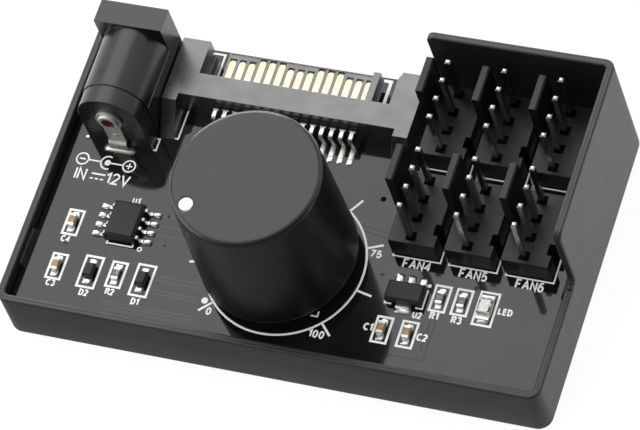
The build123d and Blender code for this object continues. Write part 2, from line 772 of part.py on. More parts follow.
# SATA contacts: flush strips on the tongue that bend down to the board in front
for name, xs, end in (
    ("sata_contacts_short", short_xs, contact_short_end),
    ("sata_contacts_long", long_xs, contact_long_end),
):
    with BuildPart() as sata_contacts:
        for x in xs:
            contact_section = bent_strip(
                Plane.YZ.offset(x),
                [
                    (contact_tail_end, board_top),
                    (contact_bend + contact_heel, board_top),
                    (contact_bend, board_top + tongue_top - contact_thickness),
                    (end, board_top + tongue_top - contact_thickness),
                ],
                contact_bend_radius,
                contact_thickness,
            )
            extrude(contact_section, amount=contact_width / 2, both=True)
        fillet(sata_contacts.edges().filter_by(Axis.Z).group_by(Axis.Y)[-1], contact_tip_round)
        with BuildSketch(Plane.XY.offset(board_top)):
            for side in (-1, 1):
                with Locations(*[(x + side * contact_tail_width / 2, contact_tail_start) for x in xs]):
                    Rectangle(
                        contact_width - contact_tail_width,
                        contact_tail_start - contact_tail_end,
                        align=(Align.MAX if side < 0 else Align.MIN, Align.MAX),
                    )
        extrude(amount=tongue_top, mode=Mode.SUBTRACT)
    sata_contacts.part.label = name
    export_step(sata_contacts.part, f"parts/{name}.step")

# Driver chip: a bevelled body and eight bent leads
with BuildPart() as driver_chip:
    with Locations((driver_spot[0], driver_spot[1], board_top + driver_standoff)):
        Box(driver_width, driver_length, driver_height - driver_standoff, align=low)
    chamfer(driver_chip.edges().group_by(Axis.Z)[-1], driver_edge)
driver_chip.part.label = "driver_chip"
export_step(driver_chip.part, "parts/driver_chip.step")

with BuildPart() as driver_leads:
    for index in range(driver_lead_count):
        lead_y = driver_spot[1] + (index - (driver_lead_count - 1) / 2) * driver_pitch
        lead_toe = driver_width / 2 + driver_lead_reach
        shoulder = lead_toe - lead_foot - lead_thickness
        for side in (-1, 1):
            lead_plane = Plane(origin=(driver_spot[0], lead_y, board_top), x_dir=(side, 0, 0), z_dir=(0, -side, 0))
            lead_section = bent_strip(
                lead_plane,
                [
                    (driver_width / 2, lead_exit),
                    (shoulder, lead_exit),
                    (shoulder, 0),
                    (lead_toe, 0),
                ],
                lead_bend_radius,
                lead_thickness,
            )
            extrude(lead_section, amount=lead_width / 2, both=True)
driver_leads.part.label = "driver_leads"
export_step(driver_leads.part, "parts/driver_leads.step")

# Regulator: a flat body on a metal tab, with three leads at the back
with BuildPart() as regulator:
    with Locations((regulator_spot[0], regulator_spot[1], board_top + regulator_metal)):
        Box(regulator_width, regulator_length, regulator_height - regulator_metal, align=low)
    chamfer(regulator.edges().group_by(Axis.Z)[-1], regulator_edge)
regulator.part.label = "regulator"
export_step(regulator.part, "parts/regulator.step")

with BuildPart() as regulator_leads:
    with BuildSketch(Plane.XY.offset(board_top)):
        with Locations((regulator_spot[0], regulator_spot[1] - regulator_length / 2 - regulator_tab_reach)):
            Rectangle(regulator_tab_width, regulator_length + regulator_tab_reach, align=(Align.CENTER, Align.MIN))
        for step in (-1, 0, 1):
            with Locations((regulator_spot[0] + step * regulator_lead_pitch, regulator_spot[1])):
                Rectangle(
                    regulator_lead_width,
                    regulator_length / 2 + regulator_lead_reach,
                    align=(Align.CENTER, Align.MIN),
                )
    extrude(amount=regulator_metal)
regulator_leads.part.label = "regulator_leads"
export_step(regulator_leads.part, "parts/regulator_leads.step")

# Chip capacitors and resistors: a block between two slightly larger metal ends
for kind, spots, length, width, height in (
    ("capacitor", capacitor_spots, capacitor_length, capacitor_width, capacitor_height),
    ("resistor", resistor_spots, resistor_length, resistor_width, resistor_height),
):
    for number, (x, y) in enumerate(spots, start=1):
        with BuildPart() as chip:
            with Locations((x, y, board_top + chip_end_proud)):
                Box(width - 2 * chip_end_proud, length, height - 2 * chip_end_proud, align=low)
            for side in (-1, 1):
                with Locations((x, y + side * (length - chip_end) / 2, board_top)):
                    Box(width, chip_end, height, align=low)
        chip.part.label = f"{kind}_{number}"
        export_step(chip.part, f"parts/{kind}_{number}.step")

# Diodes: a small block on two flat leads
for number, (x, y) in enumerate(diode_spots, start=1):
    with BuildPart() as diode:
        with Locations((x, y, board_top + diode_lead_thickness)):
            Box(diode_width, diode_length, diode_height - diode_lead_thickness, align=low)
        chamfer(diode.edges().group_by(Axis.Z)[-1], diode_edge)
    diode.part.label = f"diode_{number}"
    export_step(diode.part, f"parts/diode_{number}.step")

    with BuildPart() as diode_leads:
        for side in (-1, 1):
            with Locations((x, y + side * diode_length / 2, board_top)):
                Box(diode_lead_width, 2 * diode_lead_reach, diode_lead_thickness, align=low)
    diode_leads.part.label = f"diode_leads_{number}"
    export_step(diode_leads.part, f"parts/diode_leads_{number}.step")

# Power light: a pale base with a clear lens block
with BuildPart() as led_base:
    with Locations((led_spot[0], led_spot[1], board_top)):
        Box(led_width, led_length, led_base_height, align=low)
led_base.part.label = "led_base"
export_step(led_base.part, "parts/led_base.step")

with BuildPart() as led_lens:
    with Locations((led_spot[0], led_spot[1], board_top + led_base_height)):
        Box(led_width, led_length - 2 * led_lens_setback, led_lens_height, align=low)
    chamfer(led_lens.edges().group_by(Axis.Z)[-1], led_lens_edge)
led_lens.part.label = "led_lens"
export_step(led_lens.part, "parts/led_lens.step")
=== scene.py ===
# %% [markdown]
# # A PC fan controller hub, dressed for a studio picture
#
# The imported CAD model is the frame: a tray, a circuit board, a dial and a crowd of connectors. This
# script never moves those solids. It gives them their finishes, adds the print, the solder and the
# other thin things that CAD leaves out, and lights the scene the way a product picture is lit.

# %% Load the frame
import json
from math import cos, pi, radians, sin, tan

import bmesh
import bpy
from mathutils import Matrix, Vector


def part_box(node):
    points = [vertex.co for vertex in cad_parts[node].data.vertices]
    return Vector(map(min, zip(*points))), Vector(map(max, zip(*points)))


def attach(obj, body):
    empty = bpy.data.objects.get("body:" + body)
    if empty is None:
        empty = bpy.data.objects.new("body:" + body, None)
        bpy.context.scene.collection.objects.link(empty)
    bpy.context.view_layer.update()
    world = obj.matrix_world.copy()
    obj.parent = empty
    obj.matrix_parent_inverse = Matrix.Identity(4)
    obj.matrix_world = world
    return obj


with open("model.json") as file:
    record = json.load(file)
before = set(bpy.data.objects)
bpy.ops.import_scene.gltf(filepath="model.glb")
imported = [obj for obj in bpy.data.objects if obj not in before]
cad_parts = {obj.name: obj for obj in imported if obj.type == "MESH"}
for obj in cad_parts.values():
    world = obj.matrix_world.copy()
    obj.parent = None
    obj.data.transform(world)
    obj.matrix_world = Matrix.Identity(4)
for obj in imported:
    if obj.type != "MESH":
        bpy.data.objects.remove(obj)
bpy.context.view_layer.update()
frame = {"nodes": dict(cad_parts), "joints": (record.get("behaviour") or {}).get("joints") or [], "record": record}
nodes = frame["nodes"]
MM = 0.001

# %% [markdown]
# ## The places that everything else hangs on
#
# Thin pieces must sit exactly on the solids that carry them, so their heights are read from the
# frame instead of being typed in: above all the top of the board.

# %% Measure the frame
board_low, board_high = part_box("circuit_board")
board_top = board_high.z
dial = next(joint for joint in frame["joints"] if joint["name"] == "dial_turn")
dial_axis = Vector((dial["pos_m"][0], dial["pos_m"][1], 0.0))


def middle(node):
    """Centre of a CAD node's box."""
    low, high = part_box(node)
    return (low + high) / 2


def add_object(name, data):
    """A new object at the origin, linked to the scene."""
    thing = bpy.data.objects.new(name, data)
    bpy.context.scene.collection.objects.link(thing)
    return thing


print("board top", round(board_top / MM, 2), "mm; dial at", [round(v / MM, 2) for v in dial_axis])

# %% [markdown]
# ## Camera
#
# The picture was taken from the front right, high up, with a long lens, so parallel edges stay
# almost parallel. The camera's three axes are written as the directions that the photo's edges give.

# %% Camera
camera_data = bpy.data.cameras.new("product_camera")
camera_data.lens = 224.2
camera_data.sensor_width = 36.0
camera_data.sensor_fit = "HORIZONTAL"
camera_data.clip_end = 10.0
camera = add_object("product_camera", camera_data)
view_right = Vector((0.93039, 0.30001, -0.21064))
view_up = Vector((-0.16219, 0.85221, 0.49743))
view_back = Vector((0.32874, -0.42864, 0.84154))
camera_place = Vector((157.52, -204.79, 407.08)) * MM
camera_turn = Matrix((view_right, view_up, view_back)).transposed().to_4x4()
camera.matrix_world = Matrix.Translation(camera_place) @ camera_turn
bpy.context.scene.camera = camera
bpy.context.scene.view_settings.view_transform = "Standard"
print("camera at", [round(v, 3) for v in camera_place], "lens", camera_data.lens)

# %% [markdown]
# ## Studio
#
# A glossy black board is lit by what it mirrors. One large soft box hangs where the camera's mirror
# image looks, behind and to the left, and turns the black board grey. The floor and the world are
# white, so the tray's walls pick up their sheen from below, and a soft box on the left gives the
# knob its shape. The light comes from behind, so the paper in front of the tray would lie in shade:
# that shade is painted into the floor's glow for gloss, with painted light behind the tray, so the
# gloss of the front wall sees a greyer floor than the gloss of the right wall does. In the same way
# the room is dark on the photographer's side, which gloss that faces the front shows. A low strip
# light behind draws the thin bright lines along the back edges.

# %% Floor and world
# Glow of the floor as gloss sees it: painted shade in front of the tray, painted light behind it.
FLOOR_IN_FRONT = 0.3
FLOOR_BESIDE = 1.05
FLOOR_BEHIND = 1.3
FLOOR_TO_CAMERA = 1.06
FLOOR_GLOW = 0.86
ROOM_IN_FRONT = 0.2
ROOM_FILL = 0.82


def studio_paper():
    """Pale floor: white to the camera; in gloss, painted shade in front of the tray and painted light behind it;
    shaded for all other rays.
    """
    material = bpy.data.materials.new("studio_paper")
    material.use_nodes = True
    tree = material.node_tree
    shader = tree.nodes["Principled BSDF"]
    shader.inputs["Base Color"].default_value = (0.92, 0.92, 0.92, 1)
    shader.inputs["Roughness"].default_value = 0.9
    shader.inputs["Specular IOR Level"].default_value = 0.1
    glow = tree.nodes.new("ShaderNodeEmission")
    paths = tree.nodes.new("ShaderNodeLightPath")
    coordinates = tree.nodes.new("ShaderNodeTexCoord")
    parts = tree.nodes.new("ShaderNodeSeparateXYZ")
    shade = tree.nodes.new("ShaderNodeMapRange")
    shade.interpolation_type = "SMOOTHSTEP"
    shade.inputs["From Min"].default_value = board_low.y - 6 * MM
    shade.inputs["From Max"].default_value = board_low.y + 2 * MM
    shade.inputs["To Min"].default_value = FLOOR_IN_FRONT
    shade.inputs["To Max"].default_value = FLOOR_BESIDE
    painted_floor_light = tree.nodes.new("ShaderNodeMapRange")
    painted_floor_light.inputs["From Min"].default_value = board_low.y
    painted_floor_light.inputs["From Max"].default_value = board_high.y
    painted_floor_light.inputs["To Min"].default_value = 1.0
    painted_floor_light.inputs["To Max"].default_value = FLOOR_BEHIND
    in_gloss = tree.nodes.new("ShaderNodeMath")
    in_gloss.operation = "MULTIPLY"
    strength = tree.nodes.new("ShaderNodeMix")
    strength.inputs["B"].default_value = FLOOR_TO_CAMERA
    tree.links.new(coordinates.outputs["Object"], parts.inputs[0])
    tree.links.new(parts.outputs["Y"], shade.inputs["Value"])
    tree.links.new(paths.outputs["Is Camera Ray"], strength.inputs["Factor"])
    tree.links.new(parts.outputs["Y"], painted_floor_light.inputs["Value"])
    tree.links.new(shade.outputs["Result"], in_gloss.inputs[0])
    tree.links.new(painted_floor_light.outputs["Result"], in_gloss.inputs[1])
    tree.links.new(in_gloss.outputs[0], strength.inputs["A"])
    tree.links.new(strength.outputs["Result"], glow.inputs["Strength"])
    either = tree.nodes.new("ShaderNodeMath")
    either.operation = "MAXIMUM"
    share = tree.nodes.new("ShaderNodeMath")
    share.operation = "MULTIPLY"
    share.inputs[1].default_value = FLOOR_GLOW
    mixed = tree.nodes.new("ShaderNodeMixShader")
    tree.links.new(paths.outputs["Is Camera Ray"], either.inputs[0])
    tree.links.new(paths.outputs["Is Glossy Ray"], either.inputs[1])
    tree.links.new(either.outputs[0], share.inputs[0])
    tree.links.new(share.outputs[0], mixed.inputs["Fac"])
    tree.links.new(shader.outputs[0], mixed.inputs[1])
    tree.links.new(glow.outputs[0], mixed.inputs[2])
    tree.links.new(mixed.outputs[0], tree.nodes["Material Output"].inputs["Surface"])
    return material


floor_mesh = bpy.data.meshes.new("studio_floor")
floor_mesh.from_pydata([(-4, -4, 0), (4, -4, 0), (4, 4, 0), (-4, 4, 0)], [], [(0, 1, 2, 3)])
floor_mesh.materials.append(studio_paper())
studio_floor = add_object("studio_floor", floor_mesh)

world = bpy.data.worlds.new("studio_world")
bpy.context.scene.world = world
world.use_nodes = True
sky = world.node_tree
sky_light = sky.nodes["Background"]
sky_light.inputs["Color"].default_value = (1, 1, 1, 1)
rays = sky.nodes.new("ShaderNodeLightPath")
outward = sky.nodes.new("ShaderNodeTexCoord")
away = sky.nodes.new("ShaderNodeVectorMath")
away.operation = "DOT_PRODUCT"
away.inputs[1].default_value = Vector((-view_back.x, -view_back.y, 0)).normalized()
darker = sky.nodes.new("ShaderNodeMapRange")
darker.interpolation_type = "SMOOTHSTEP"
darker.inputs["From Min"].default_value = -0.65
darker.inputs["From Max"].default_value = 0.15
darker.inputs["To Min"].default_value = ROOM_IN_FRONT
darker.inputs["To Max"].default_value = 1.0
sky_level = sky.nodes.new("ShaderNodeMix")
sky_level.inputs["A"].default_value = 1.0
sky.links.new(outward.outputs["Generated"], away.inputs[0])
sky.links.new(away.outputs["Value"], darker.inputs["Value"])
sky.links.new(darker.outputs["Result"], sky_level.inputs["B"])
sky.links.new(rays.outputs["Is Glossy Ray"], sky_level.inputs["Factor"])
fill_level = sky.nodes.new("ShaderNodeMix")
fill_level.inputs["B"].default_value = ROOM_FILL
sky.links.new(rays.outputs["Is Diffuse Ray"], fill_level.inputs["Factor"])
sky.links.new(sky_level.outputs["Result"], fill_level.inputs["A"])
sky.links.new(fill_level.outputs["Result"], sky_light.inputs["Strength"])
print("floor and world ready")


# %% Soft boxes
def soft_box(name, place, aim, size, power):
    """A rectangular area light at place (metres), turned towards aim."""
    lamp = bpy.data.lights.new(name, "AREA")
    lamp.shape = "RECTANGLE"
    lamp.size, lamp.size_y = size
    lamp.energy = power
    holder = add_object(name, lamp)
    holder.location = place
    holder.rotation_euler = (Vector(aim) - Vector(place)).to_track_quat("-Z", "Y").to_euler()
    holder.visible_camera = False
    return holder


mirror_view = Vector((-view_back.x, -view_back.y, view_back.z))
soft_box("mirror_soft_box", mirror_view * 1.1, (0, 0, 0.01), (0.75, 0.75), 2.7)
soft_box("left_soft_box", Vector((-0.85, -0.2, 0.5)), (0, 0, 0.01), (0.7, 0.7), 2.8)
soft_box("back_strip", Vector((-0.5, 0.8, 0.3)), (0, 0, 0.01), (0.6, 0.42), 5.0)

# %% [markdown]
# ## Finishes
#
# Every finish starts from the same few moves: a colour that drifts a little over the surface, a
# roughness that drifts with it, and a fine bump. Moulded and printed plastics differ only in the
# scale and the direction of that grain. All of it reads Object coordinates, in metres, so a grain
# of a tenth of a millimetre is noise with a scale of some thousands.

# %% Tools for finishes
def finish(name, colour, roughness, metallic=0.0, specular=0.5):
    """A new Principled material and its node tree."""
    material = bpy.data.materials.new(name)
    material.use_nodes = True
    tree = material.node_tree
    shader = tree.nodes["Principled BSDF"]
    shader.inputs["Base Color"].default_value = (*colour, 1)
    shader.inputs["Roughness"].default_value = roughness
    shader.inputs["Metallic"].default_value = metallic
    shader.inputs["Specular IOR Level"].default_value = specular
    return material, tree, shader


def place_nodes(tree, stretch=(1, 1, 1), shift=(0, 0, 0)):
    """Object coordinates, moved by shift (metres) and then stretched."""
    coordinates = tree.nodes.new("ShaderNodeTexCoord")
    moved = tree.nodes.new("ShaderNodeVectorMath")
    moved.operation = "ADD"
    moved.inputs[1].default_value = shift
    stretched = tree.nodes.new("ShaderNodeVectorMath")
    stretched.operation = "MULTIPLY"
    stretched.inputs[1].default_value = stretch
    tree.links.new(coordinates.outputs["Object"], moved.inputs[0])
    tree.links.new(moved.outputs[0], stretched.inputs[0])
    return stretched.outputs[0]


def split(tree, vector):
    """The X, Y and Z of a vector socket."""
    node = tree.nodes.new("ShaderNodeSeparateXYZ")
    tree.links.new(vector, node.inputs[0])
    return node.outputs


def grain(tree, scale, detail=3.0, stretch=(1, 1, 1)):
    """Noise with a scale in cells per metre."""
    noise = tree.nodes.new("ShaderNodeTexNoise")
    noise.inputs["Scale"].default_value = scale
    noise.inputs["Detail"].default_value = detail
    tree.links.new(place_nodes(tree, stretch), noise.inputs["Vector"])
    return noise.outputs["Fac"]


def spread(tree, factor, low, high, from_low=0.3, from_high=0.7):
    """Map a 0 to 1 factor onto a range."""
    node = tree.nodes.new("ShaderNodeMapRange")
    node.inputs["From Min"].default_value = from_low
    node.inputs["From Max"].default_value = from_high
    node.inputs["To Min"].default_value = low
    node.inputs["To Max"].default_value = high
    tree.links.new(factor, node.inputs["Value"])
    return node.outputs["Result"]


def blend_colours(tree, factor, first, second):
    """A colour between two by a factor."""
    node = tree.nodes.new("ShaderNodeMix")
    node.data_type = "RGBA"
    tree.links.new(factor, node.inputs["Factor"])
    for socket, value in ((node.inputs["A"], first), (node.inputs["B"], second)):
        if isinstance(value, tuple):
            socket.default_value = (*value, 1)
        else:
            tree.links.new(value, socket)
    return node.outputs["Result"]


def calculate(tree, operation, *values):
    """One Math node on numbers or sockets."""
    node = tree.nodes.new("ShaderNodeMath")
    node.operation = operation
    for socket, value in zip(node.inputs, values):
        if isinstance(value, (int, float)):
            socket.default_value = value
        else:
            tree.links.new(value, socket)
    return node.outputs[0]


def rounded_edges(tree, radius, samples=6):
    """A normal that rolls over the CAD solid's sharp edges."""
    bevel = tree.nodes.new("ShaderNodeBevel")
    bevel.samples = samples
    bevel.inputs["Radius"].default_value = radius
    return bevel.outputs["Normal"]


def relief(tree, shader, height, depth, strength=1.0, normal=None):
    """Bump on a shader, with the depth of its relief in metres."""
    bump = tree.nodes.new("ShaderNodeBump")
    bump.inputs["Strength"].default_value = strength
    bump.inputs["Distance"].default_value = depth
    tree.links.new(height, bump.inputs["Height"])
    if normal is not None:
        tree.links.new(normal, bump.inputs["Normal"])
    tree.links.new(bump.outputs["Normal"], shader.inputs["Normal"])


def moulded(
    name, dark, light, roughness, grain_scale, depth,
    edge=0.12 * MM, stretch=(1, 1, 1), specular=0.5, cloud_scale=260.0,
):
    """Moulded plastic: drifting colour, drifting gloss, a fine grain and soft edges."""
    material, tree, shader = finish(name, dark, roughness, specular=specular)
    cloud = grain(tree, cloud_scale, 4.0)
    tree.links.new(blend_colours(tree, spread(tree, cloud, 0, 1), dark, light), shader.inputs["Base Color"])
    tree.links.new(spread(tree, cloud, roughness - 0.05, roughness + 0.05), shader.inputs["Roughness"])
    relief(tree, shader, grain(tree, grain_scale, 2.0, stretch), depth, 1.0, rounded_edges(tree, edge))
    return material


def metal(name, dark, light, roughness, grain_scale, stretch=(1, 1, 1), edge=0.06 * MM, depth=0.004 * MM):
    """Plated metal: a tarnish that comes and goes, and drawn lines along the strip."""
    material, tree, shader = finish(name, light, roughness, metallic=1.0)
    cloud = grain(tree, 900.0, 5.0)
    tree.links.new(blend_colours(tree, spread(tree, cloud, 0, 1), dark, light), shader.inputs["Base Color"])
    tree.links.new(spread(tree, cloud, roughness + 0.08, roughness - 0.06), shader.inputs["Roughness"])
    relief(tree, shader, grain(tree, grain_scale, 2.0, stretch), depth, 0.6, rounded_edges(tree, edge, 4))
    return material


# %% [markdown]
# ## Tray plastic
#
# The tray was built up in layers. Its walls carry faint level streaks, and its rim shows the
# separate tracks that were laid side by side, with a seam between the last two: a groove in the bump,
# whose darker colour is painted shade. The seam is found from the tray's outline: the larger of the two
# distances to the rim's centre line.

# %% Tray plastic
wall_thickness = 1.0 * MM
wall_lean = tan(radians(1.6))
tray_half = Vector((69.306, 40.816, 0)) * MM / 2


def tray_plastic():
    """Layered black plastic with level streaks and a seam along the rim, sunk by bump and darkened by painted
    shade.
    """
    material, tree, shader = finish("tray_plastic", (0.011, 0.011, 0.012), 0.5, specular=0.68)
    coordinates = tree.nodes.new("ShaderNodeTexCoord")
    parts = split(tree, coordinates.outputs["Object"])
    facing = split(tree, coordinates.outputs["Normal"])
    lean_in = calculate(tree, "MULTIPLY", parts["Z"], wall_lean)
    across = []
    for axis, half in (("X", tray_half.x), ("Y", tray_half.y)):
        reach = calculate(tree, "ADD", calculate(tree, "ABSOLUTE", parts[axis]), lean_in)
        across.append(calculate(tree, "SUBTRACT", reach, half - wall_thickness / 2))
    from_middle = calculate(tree, "MAXIMUM", *across)
    seam = calculate(tree, "ABSOLUTE", calculate(tree, "SUBTRACT", from_middle, 0.06 * MM))
    in_seam = spread(tree, seam, 1.0, 0.0, 0.03 * MM, 0.1 * MM)
    on_top = spread(tree, facing["Z"], 0.0, 1.0, 0.6, 0.9)
    above_board = spread(tree, parts["Z"], 0.0, 1.0, board_top + 0.9 * MM, board_top + 1.0 * MM)
    groove_and_painted_shade = calculate(tree, "MULTIPLY", calculate(tree, "MULTIPLY", in_seam, on_top), above_board)
    streaks = grain(tree, 320.0, 4.0, (1.0, 1.0, 14.0))
    cloud = grain(tree, 90.0, 4.0)
    plain = blend_colours(tree, spread(tree, cloud, 0, 1), (0.004, 0.004, 0.0045), (0.008, 0.008, 0.0085))
    # Painted shade: the seam's colour is darkened as if shade lay in the groove.
    tree.links.new(blend_colours(tree, groove_and_painted_shade, plain, (0.002, 0.002, 0.002)), shader.inputs["Base Color"])
    tree.links.new(spread(tree, streaks, 0.46, 0.54), shader.inputs["Roughness"])
    fine = grain(tree, 4200.0, 2.0)
    layers = calculate(tree, "MULTIPLY", streaks, 0.4)
    height = calculate(tree, "ADD", layers, calculate(tree, "MULTIPLY", fine, 0.5))
    height = calculate(tree, "SUBTRACT", height, calculate(tree, "MULTIPLY", groove_and_painted_shade, 1.2))
    relief(tree, shader, height, 0.02 * MM, 0.8)
    return material


# %% [markdown]
# ## Board, knob and connectors
#
# The solder mask is a hard gloss over black: nearly no colour of its own, and a slight wave in its
# surface. The knob is a black plastic with a fine, even grain that is worn smoother on its shoulder.
# The fan headers are dull black with shinier level tops, and the plug's bar has a mottled, glossy skin.

# %% Plastics of the other pieces
def board_mask(name, dark, light, roughness, specular):
    """Hard black gloss with a slight wave in it."""
    material, tree, shader = finish(name, dark, roughness, specular=specular)
    cloud = grain(tree, 120.0, 3.0)
    tree.links.new(blend_colours(tree, spread(tree, cloud, 0, 1), dark, light), shader.inputs["Base Color"])
    tree.links.new(spread(tree, cloud, roughness - 0.03, roughness + 0.03), shader.inputs["Roughness"])
    relief(tree, shader, grain(tree, 350.0, 2.0), 0.002 * MM, 0.5)
    return material


def knob_plastic():
    """Eroded plastic: a top that faces the light, a duller skirt, and a shoulder worn smooth between."""
    dark = (0.003, 0.003, 0.0032)
    light = (0.006, 0.006, 0.0063)
    material, tree, shader = finish("knob_plastic", dark, 0.3)
    coordinates = tree.nodes.new("ShaderNodeTexCoord")
    facing = split(tree, coordinates.outputs["Normal"])
    on_top = spread(tree, facing["Z"], 0.0, 1.0, 0.1, 0.6)
    cloud = grain(tree, 260.0, 4.0)
    tree.links.new(blend_colours(tree, spread(tree, cloud, 0, 1), dark, light), shader.inputs["Base Color"])
    past_skirt = spread(tree, facing["Z"], 0.0, 1.0, 0.2, 0.4)
    before_top = spread(tree, facing["Z"], 1.0, 0.0, 0.93, 0.995)
    shoulder = calculate(tree, "MULTIPLY", past_skirt, before_top)
    eroded_roughness = spread(tree, on_top, 0.36, 0.3, 0.0, 1.0)
    worn = calculate(tree, "MULTIPLY", shoulder, 0.18)
    tree.links.new(calculate(tree, "SUBTRACT", eroded_roughness, worn), shader.inputs["Roughness"])
    tree.links.new(spread(tree, on_top, 0.3, 0.54, 0.0, 1.0), shader.inputs["Specular IOR Level"])
    eroded = calculate(tree, "MULTIPLY", grain(tree, 3600.0, 2.0), spread(tree, on_top, 0.3, 1.0, 0.0, 1.0))
    relief(tree, shader, eroded, 0.02 * MM, 1.0, rounded_edges(tree, 0.55 * MM, 8))
    return material


def header_black():
    """Dull black whose level tops shine more than its sides, with dark wells round the pins."""
    material = moulded(
        "header_plastic", (0.003, 0.003, 0.0032), (0.007, 0.007, 0.0073), 0.42, 2600.0, 0.01 * MM,
        specular=0.42,
    )
    tree = material.node_tree
    place = split(tree, place_nodes(tree))
    facing = split(tree, tree.nodes.new("ShaderNodeNewGeometry").outputs["Normal"])
    well_top = board_top + 3.0 * MM
    tops = spread(tree, place["Z"], 0.03, 0.42, well_top, well_top + 0.15 * MM)
    level = spread(tree, facing["Z"], 0.0, 1.0, 0.4, 0.8)
    sides = spread(tree, facing["Z"], 0.16, 0.0, 0.4, 0.8)
    gloss = calculate(tree, "MAXIMUM", calculate(tree, "MULTIPLY", tops, level), sides)
    tree.links.new(gloss, tree.nodes["Principled BSDF"].inputs["Specular IOR Level"])
    return material


def filled_black():
    """Filled plastic: coarse mottling under a skin whose gloss follows the flow of the melt."""
    material = moulded(
        "filled_plastic", (0.006, 0.0065, 0.007), (0.022, 0.023, 0.025), 0.3, 1500.0, 0.009 * MM, 0.14 * MM,
        (0.35, 1, 1), specular=1.0, cloud_scale=900.0,
    )
    tree = material.node_tree
    skin = tree.nodes["Principled BSDF"]
    flow = grain(tree, 520.0, 5.0, (0.6, 1, 1))
    tree.links.new(spread(tree, flow, 0.55, 1.0), skin.inputs["Coat Weight"])
    skin.inputs["Coat Roughness"].default_value = 0.3
    skin.inputs["Coat IOR"].default_value = 1.68
    return material


plastics = {
    "tray_plastic": tray_plastic(),
    "board_mask": board_mask("board_mask", (0.004, 0.004, 0.0045), (0.009, 0.009, 0.0095), 0.065, 0.53),
    "knob_plastic": knob_plastic(),
    "connector_plastic": moulded(
        "connector_plastic", (0.004, 0.004, 0.0043), (0.009, 0.009, 0.0095), 0.28, 2400.0, 0.005 * MM,
        specular=0.6,
    ),
    "pot_plastic": moulded("pot_plastic", (0.02, 0.02, 0.02), (0.04, 0.04, 0.04), 0.45, 3000.0, 0.01 * MM),
    "chip_epoxy": moulded(
        "chip_epoxy", (0.01, 0.01, 0.0105), (0.02, 0.02, 0.02), 0.5, 5200.0, 0.02 * MM, 0.05 * MM,
        specular=0.32,
    ),
    "white_paint": moulded(
        "white_paint", (0.8, 0.8, 0.78), (0.88, 0.88, 0.86), 0.5, 3600.0, 0.006 * MM, 0.03 * MM, specular=0.12
    ),
    "carbon_track": moulded("carbon_track", (0.04, 0.04, 0.045), (0.08, 0.08, 0.085), 0.7, 6000.0, 0.01 * MM),
}
header_plastic = header_black()
filled_plastic = filled_black()
print("plastics", sorted(plastics))

# %% [markdown]
# ## Metals
#
# Tin, gold and brass are full mirrors that are never quite clean. A slow cloud moves each one
# between a bright and a tarnished tone, and roughens it where it is dull.

# %% Metals
def contact_metal():
    """Gold on the plug's side of the connector bar and tin on the soldered tails, with painted shade on the tails
    under the bar.
    """
    material, tree, shader = finish("contact_metal", (0.8, 0.7, 0.5), 0.34, metallic=1.0)
    bar_low, bar_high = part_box("sata_housing")
    parts = split(tree, place_nodes(tree))
    tail = spread(tree, parts["Y"], 1.0, 0.0, bar_low.y + 4.3 * MM, bar_low.y + 4.7 * MM)
    cloud = grain(tree, 900.0, 5.0)
    gold = blend_colours(tree, spread(tree, cloud, 0, 1), (0.5, 0.43, 0.27), (0.62, 0.55, 0.38))
    # The gold is paler towards the front of the tongue.
    paler_to_front = spread(tree, parts["Y"], 0.75, 0.0, bar_low.y + 6.5 * MM, bar_high.y - 0.8 * MM)
    gold = blend_colours(tree, paler_to_front, gold, (0.66, 0.62, 0.5))
    tin = blend_colours(tree, spread(tree, cloud, 0, 1), (0.5, 0.49, 0.47), (0.86, 0.85, 0.83))
    # Painted shade: the tin goes nearly black where the tails pass under the bar.
    tail_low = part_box("sata_contacts_short")[0]
    painted_shade_under_bar = spread(tree, parts["Y"], 0.0, 1.0, tail_low.y + 2.6 * MM, tail_low.y + 2.72 * MM)
    tin = blend_colours(tree, painted_shade_under_bar, tin, (0.04, 0.04, 0.04))
    tree.links.new(blend_colours(tree, tail, gold, tin), shader.inputs["Base Color"])
    tree.links.new(spread(tree, cloud, 0.44, 0.34), shader.inputs["Roughness"])
    drawn = grain(tree, 2600.0, 2.0, (6, 1, 1))
    relief(tree, shader, drawn, 0.003 * MM, 0.5, rounded_edges(tree, 0.06 * MM, 4))
    return material


def riveted_pin():
    """Copper in the rivet's hollow and tin on its rim, split by the distance from the jack's axis."""
    material, tree, shader = finish("brass_pin", (0.6, 0.35, 0.24), 0.34, metallic=1.0)
    axis = middle("jack_centre_pin")
    parts = split(tree, place_nodes(tree, (1, 1, 1), tuple(-axis)))
    square = [calculate(tree, "MULTIPLY", parts[name], parts[name]) for name in ("X", "Z")]
    from_axis = calculate(tree, "SQRT", calculate(tree, "ADD", *square))
    rim = spread(tree, from_axis, 0.0, 1.0, 0.84 * MM, 1.0 * MM)
    cloud = grain(tree, 1600.0, 4.0)
    copper = blend_colours(tree, spread(tree, cloud, 0, 1), (0.36, 0.17, 0.1), (0.66, 0.38, 0.26))
    tin = blend_colours(tree, spread(tree, cloud, 0, 1), (0.6, 0.58, 0.54), (0.9, 0.88, 0.85))
    tree.links.new(blend_colours(tree, rim, copper, tin), shader.inputs["Base Color"])
    tree.links.new(spread(tree, cloud, 0.5, 0.38), shader.inputs["Roughness"])
    relief(tree, shader, cloud, 0.01 * MM, 0.6, rounded_edges(tree, 0.12 * MM))
    return material


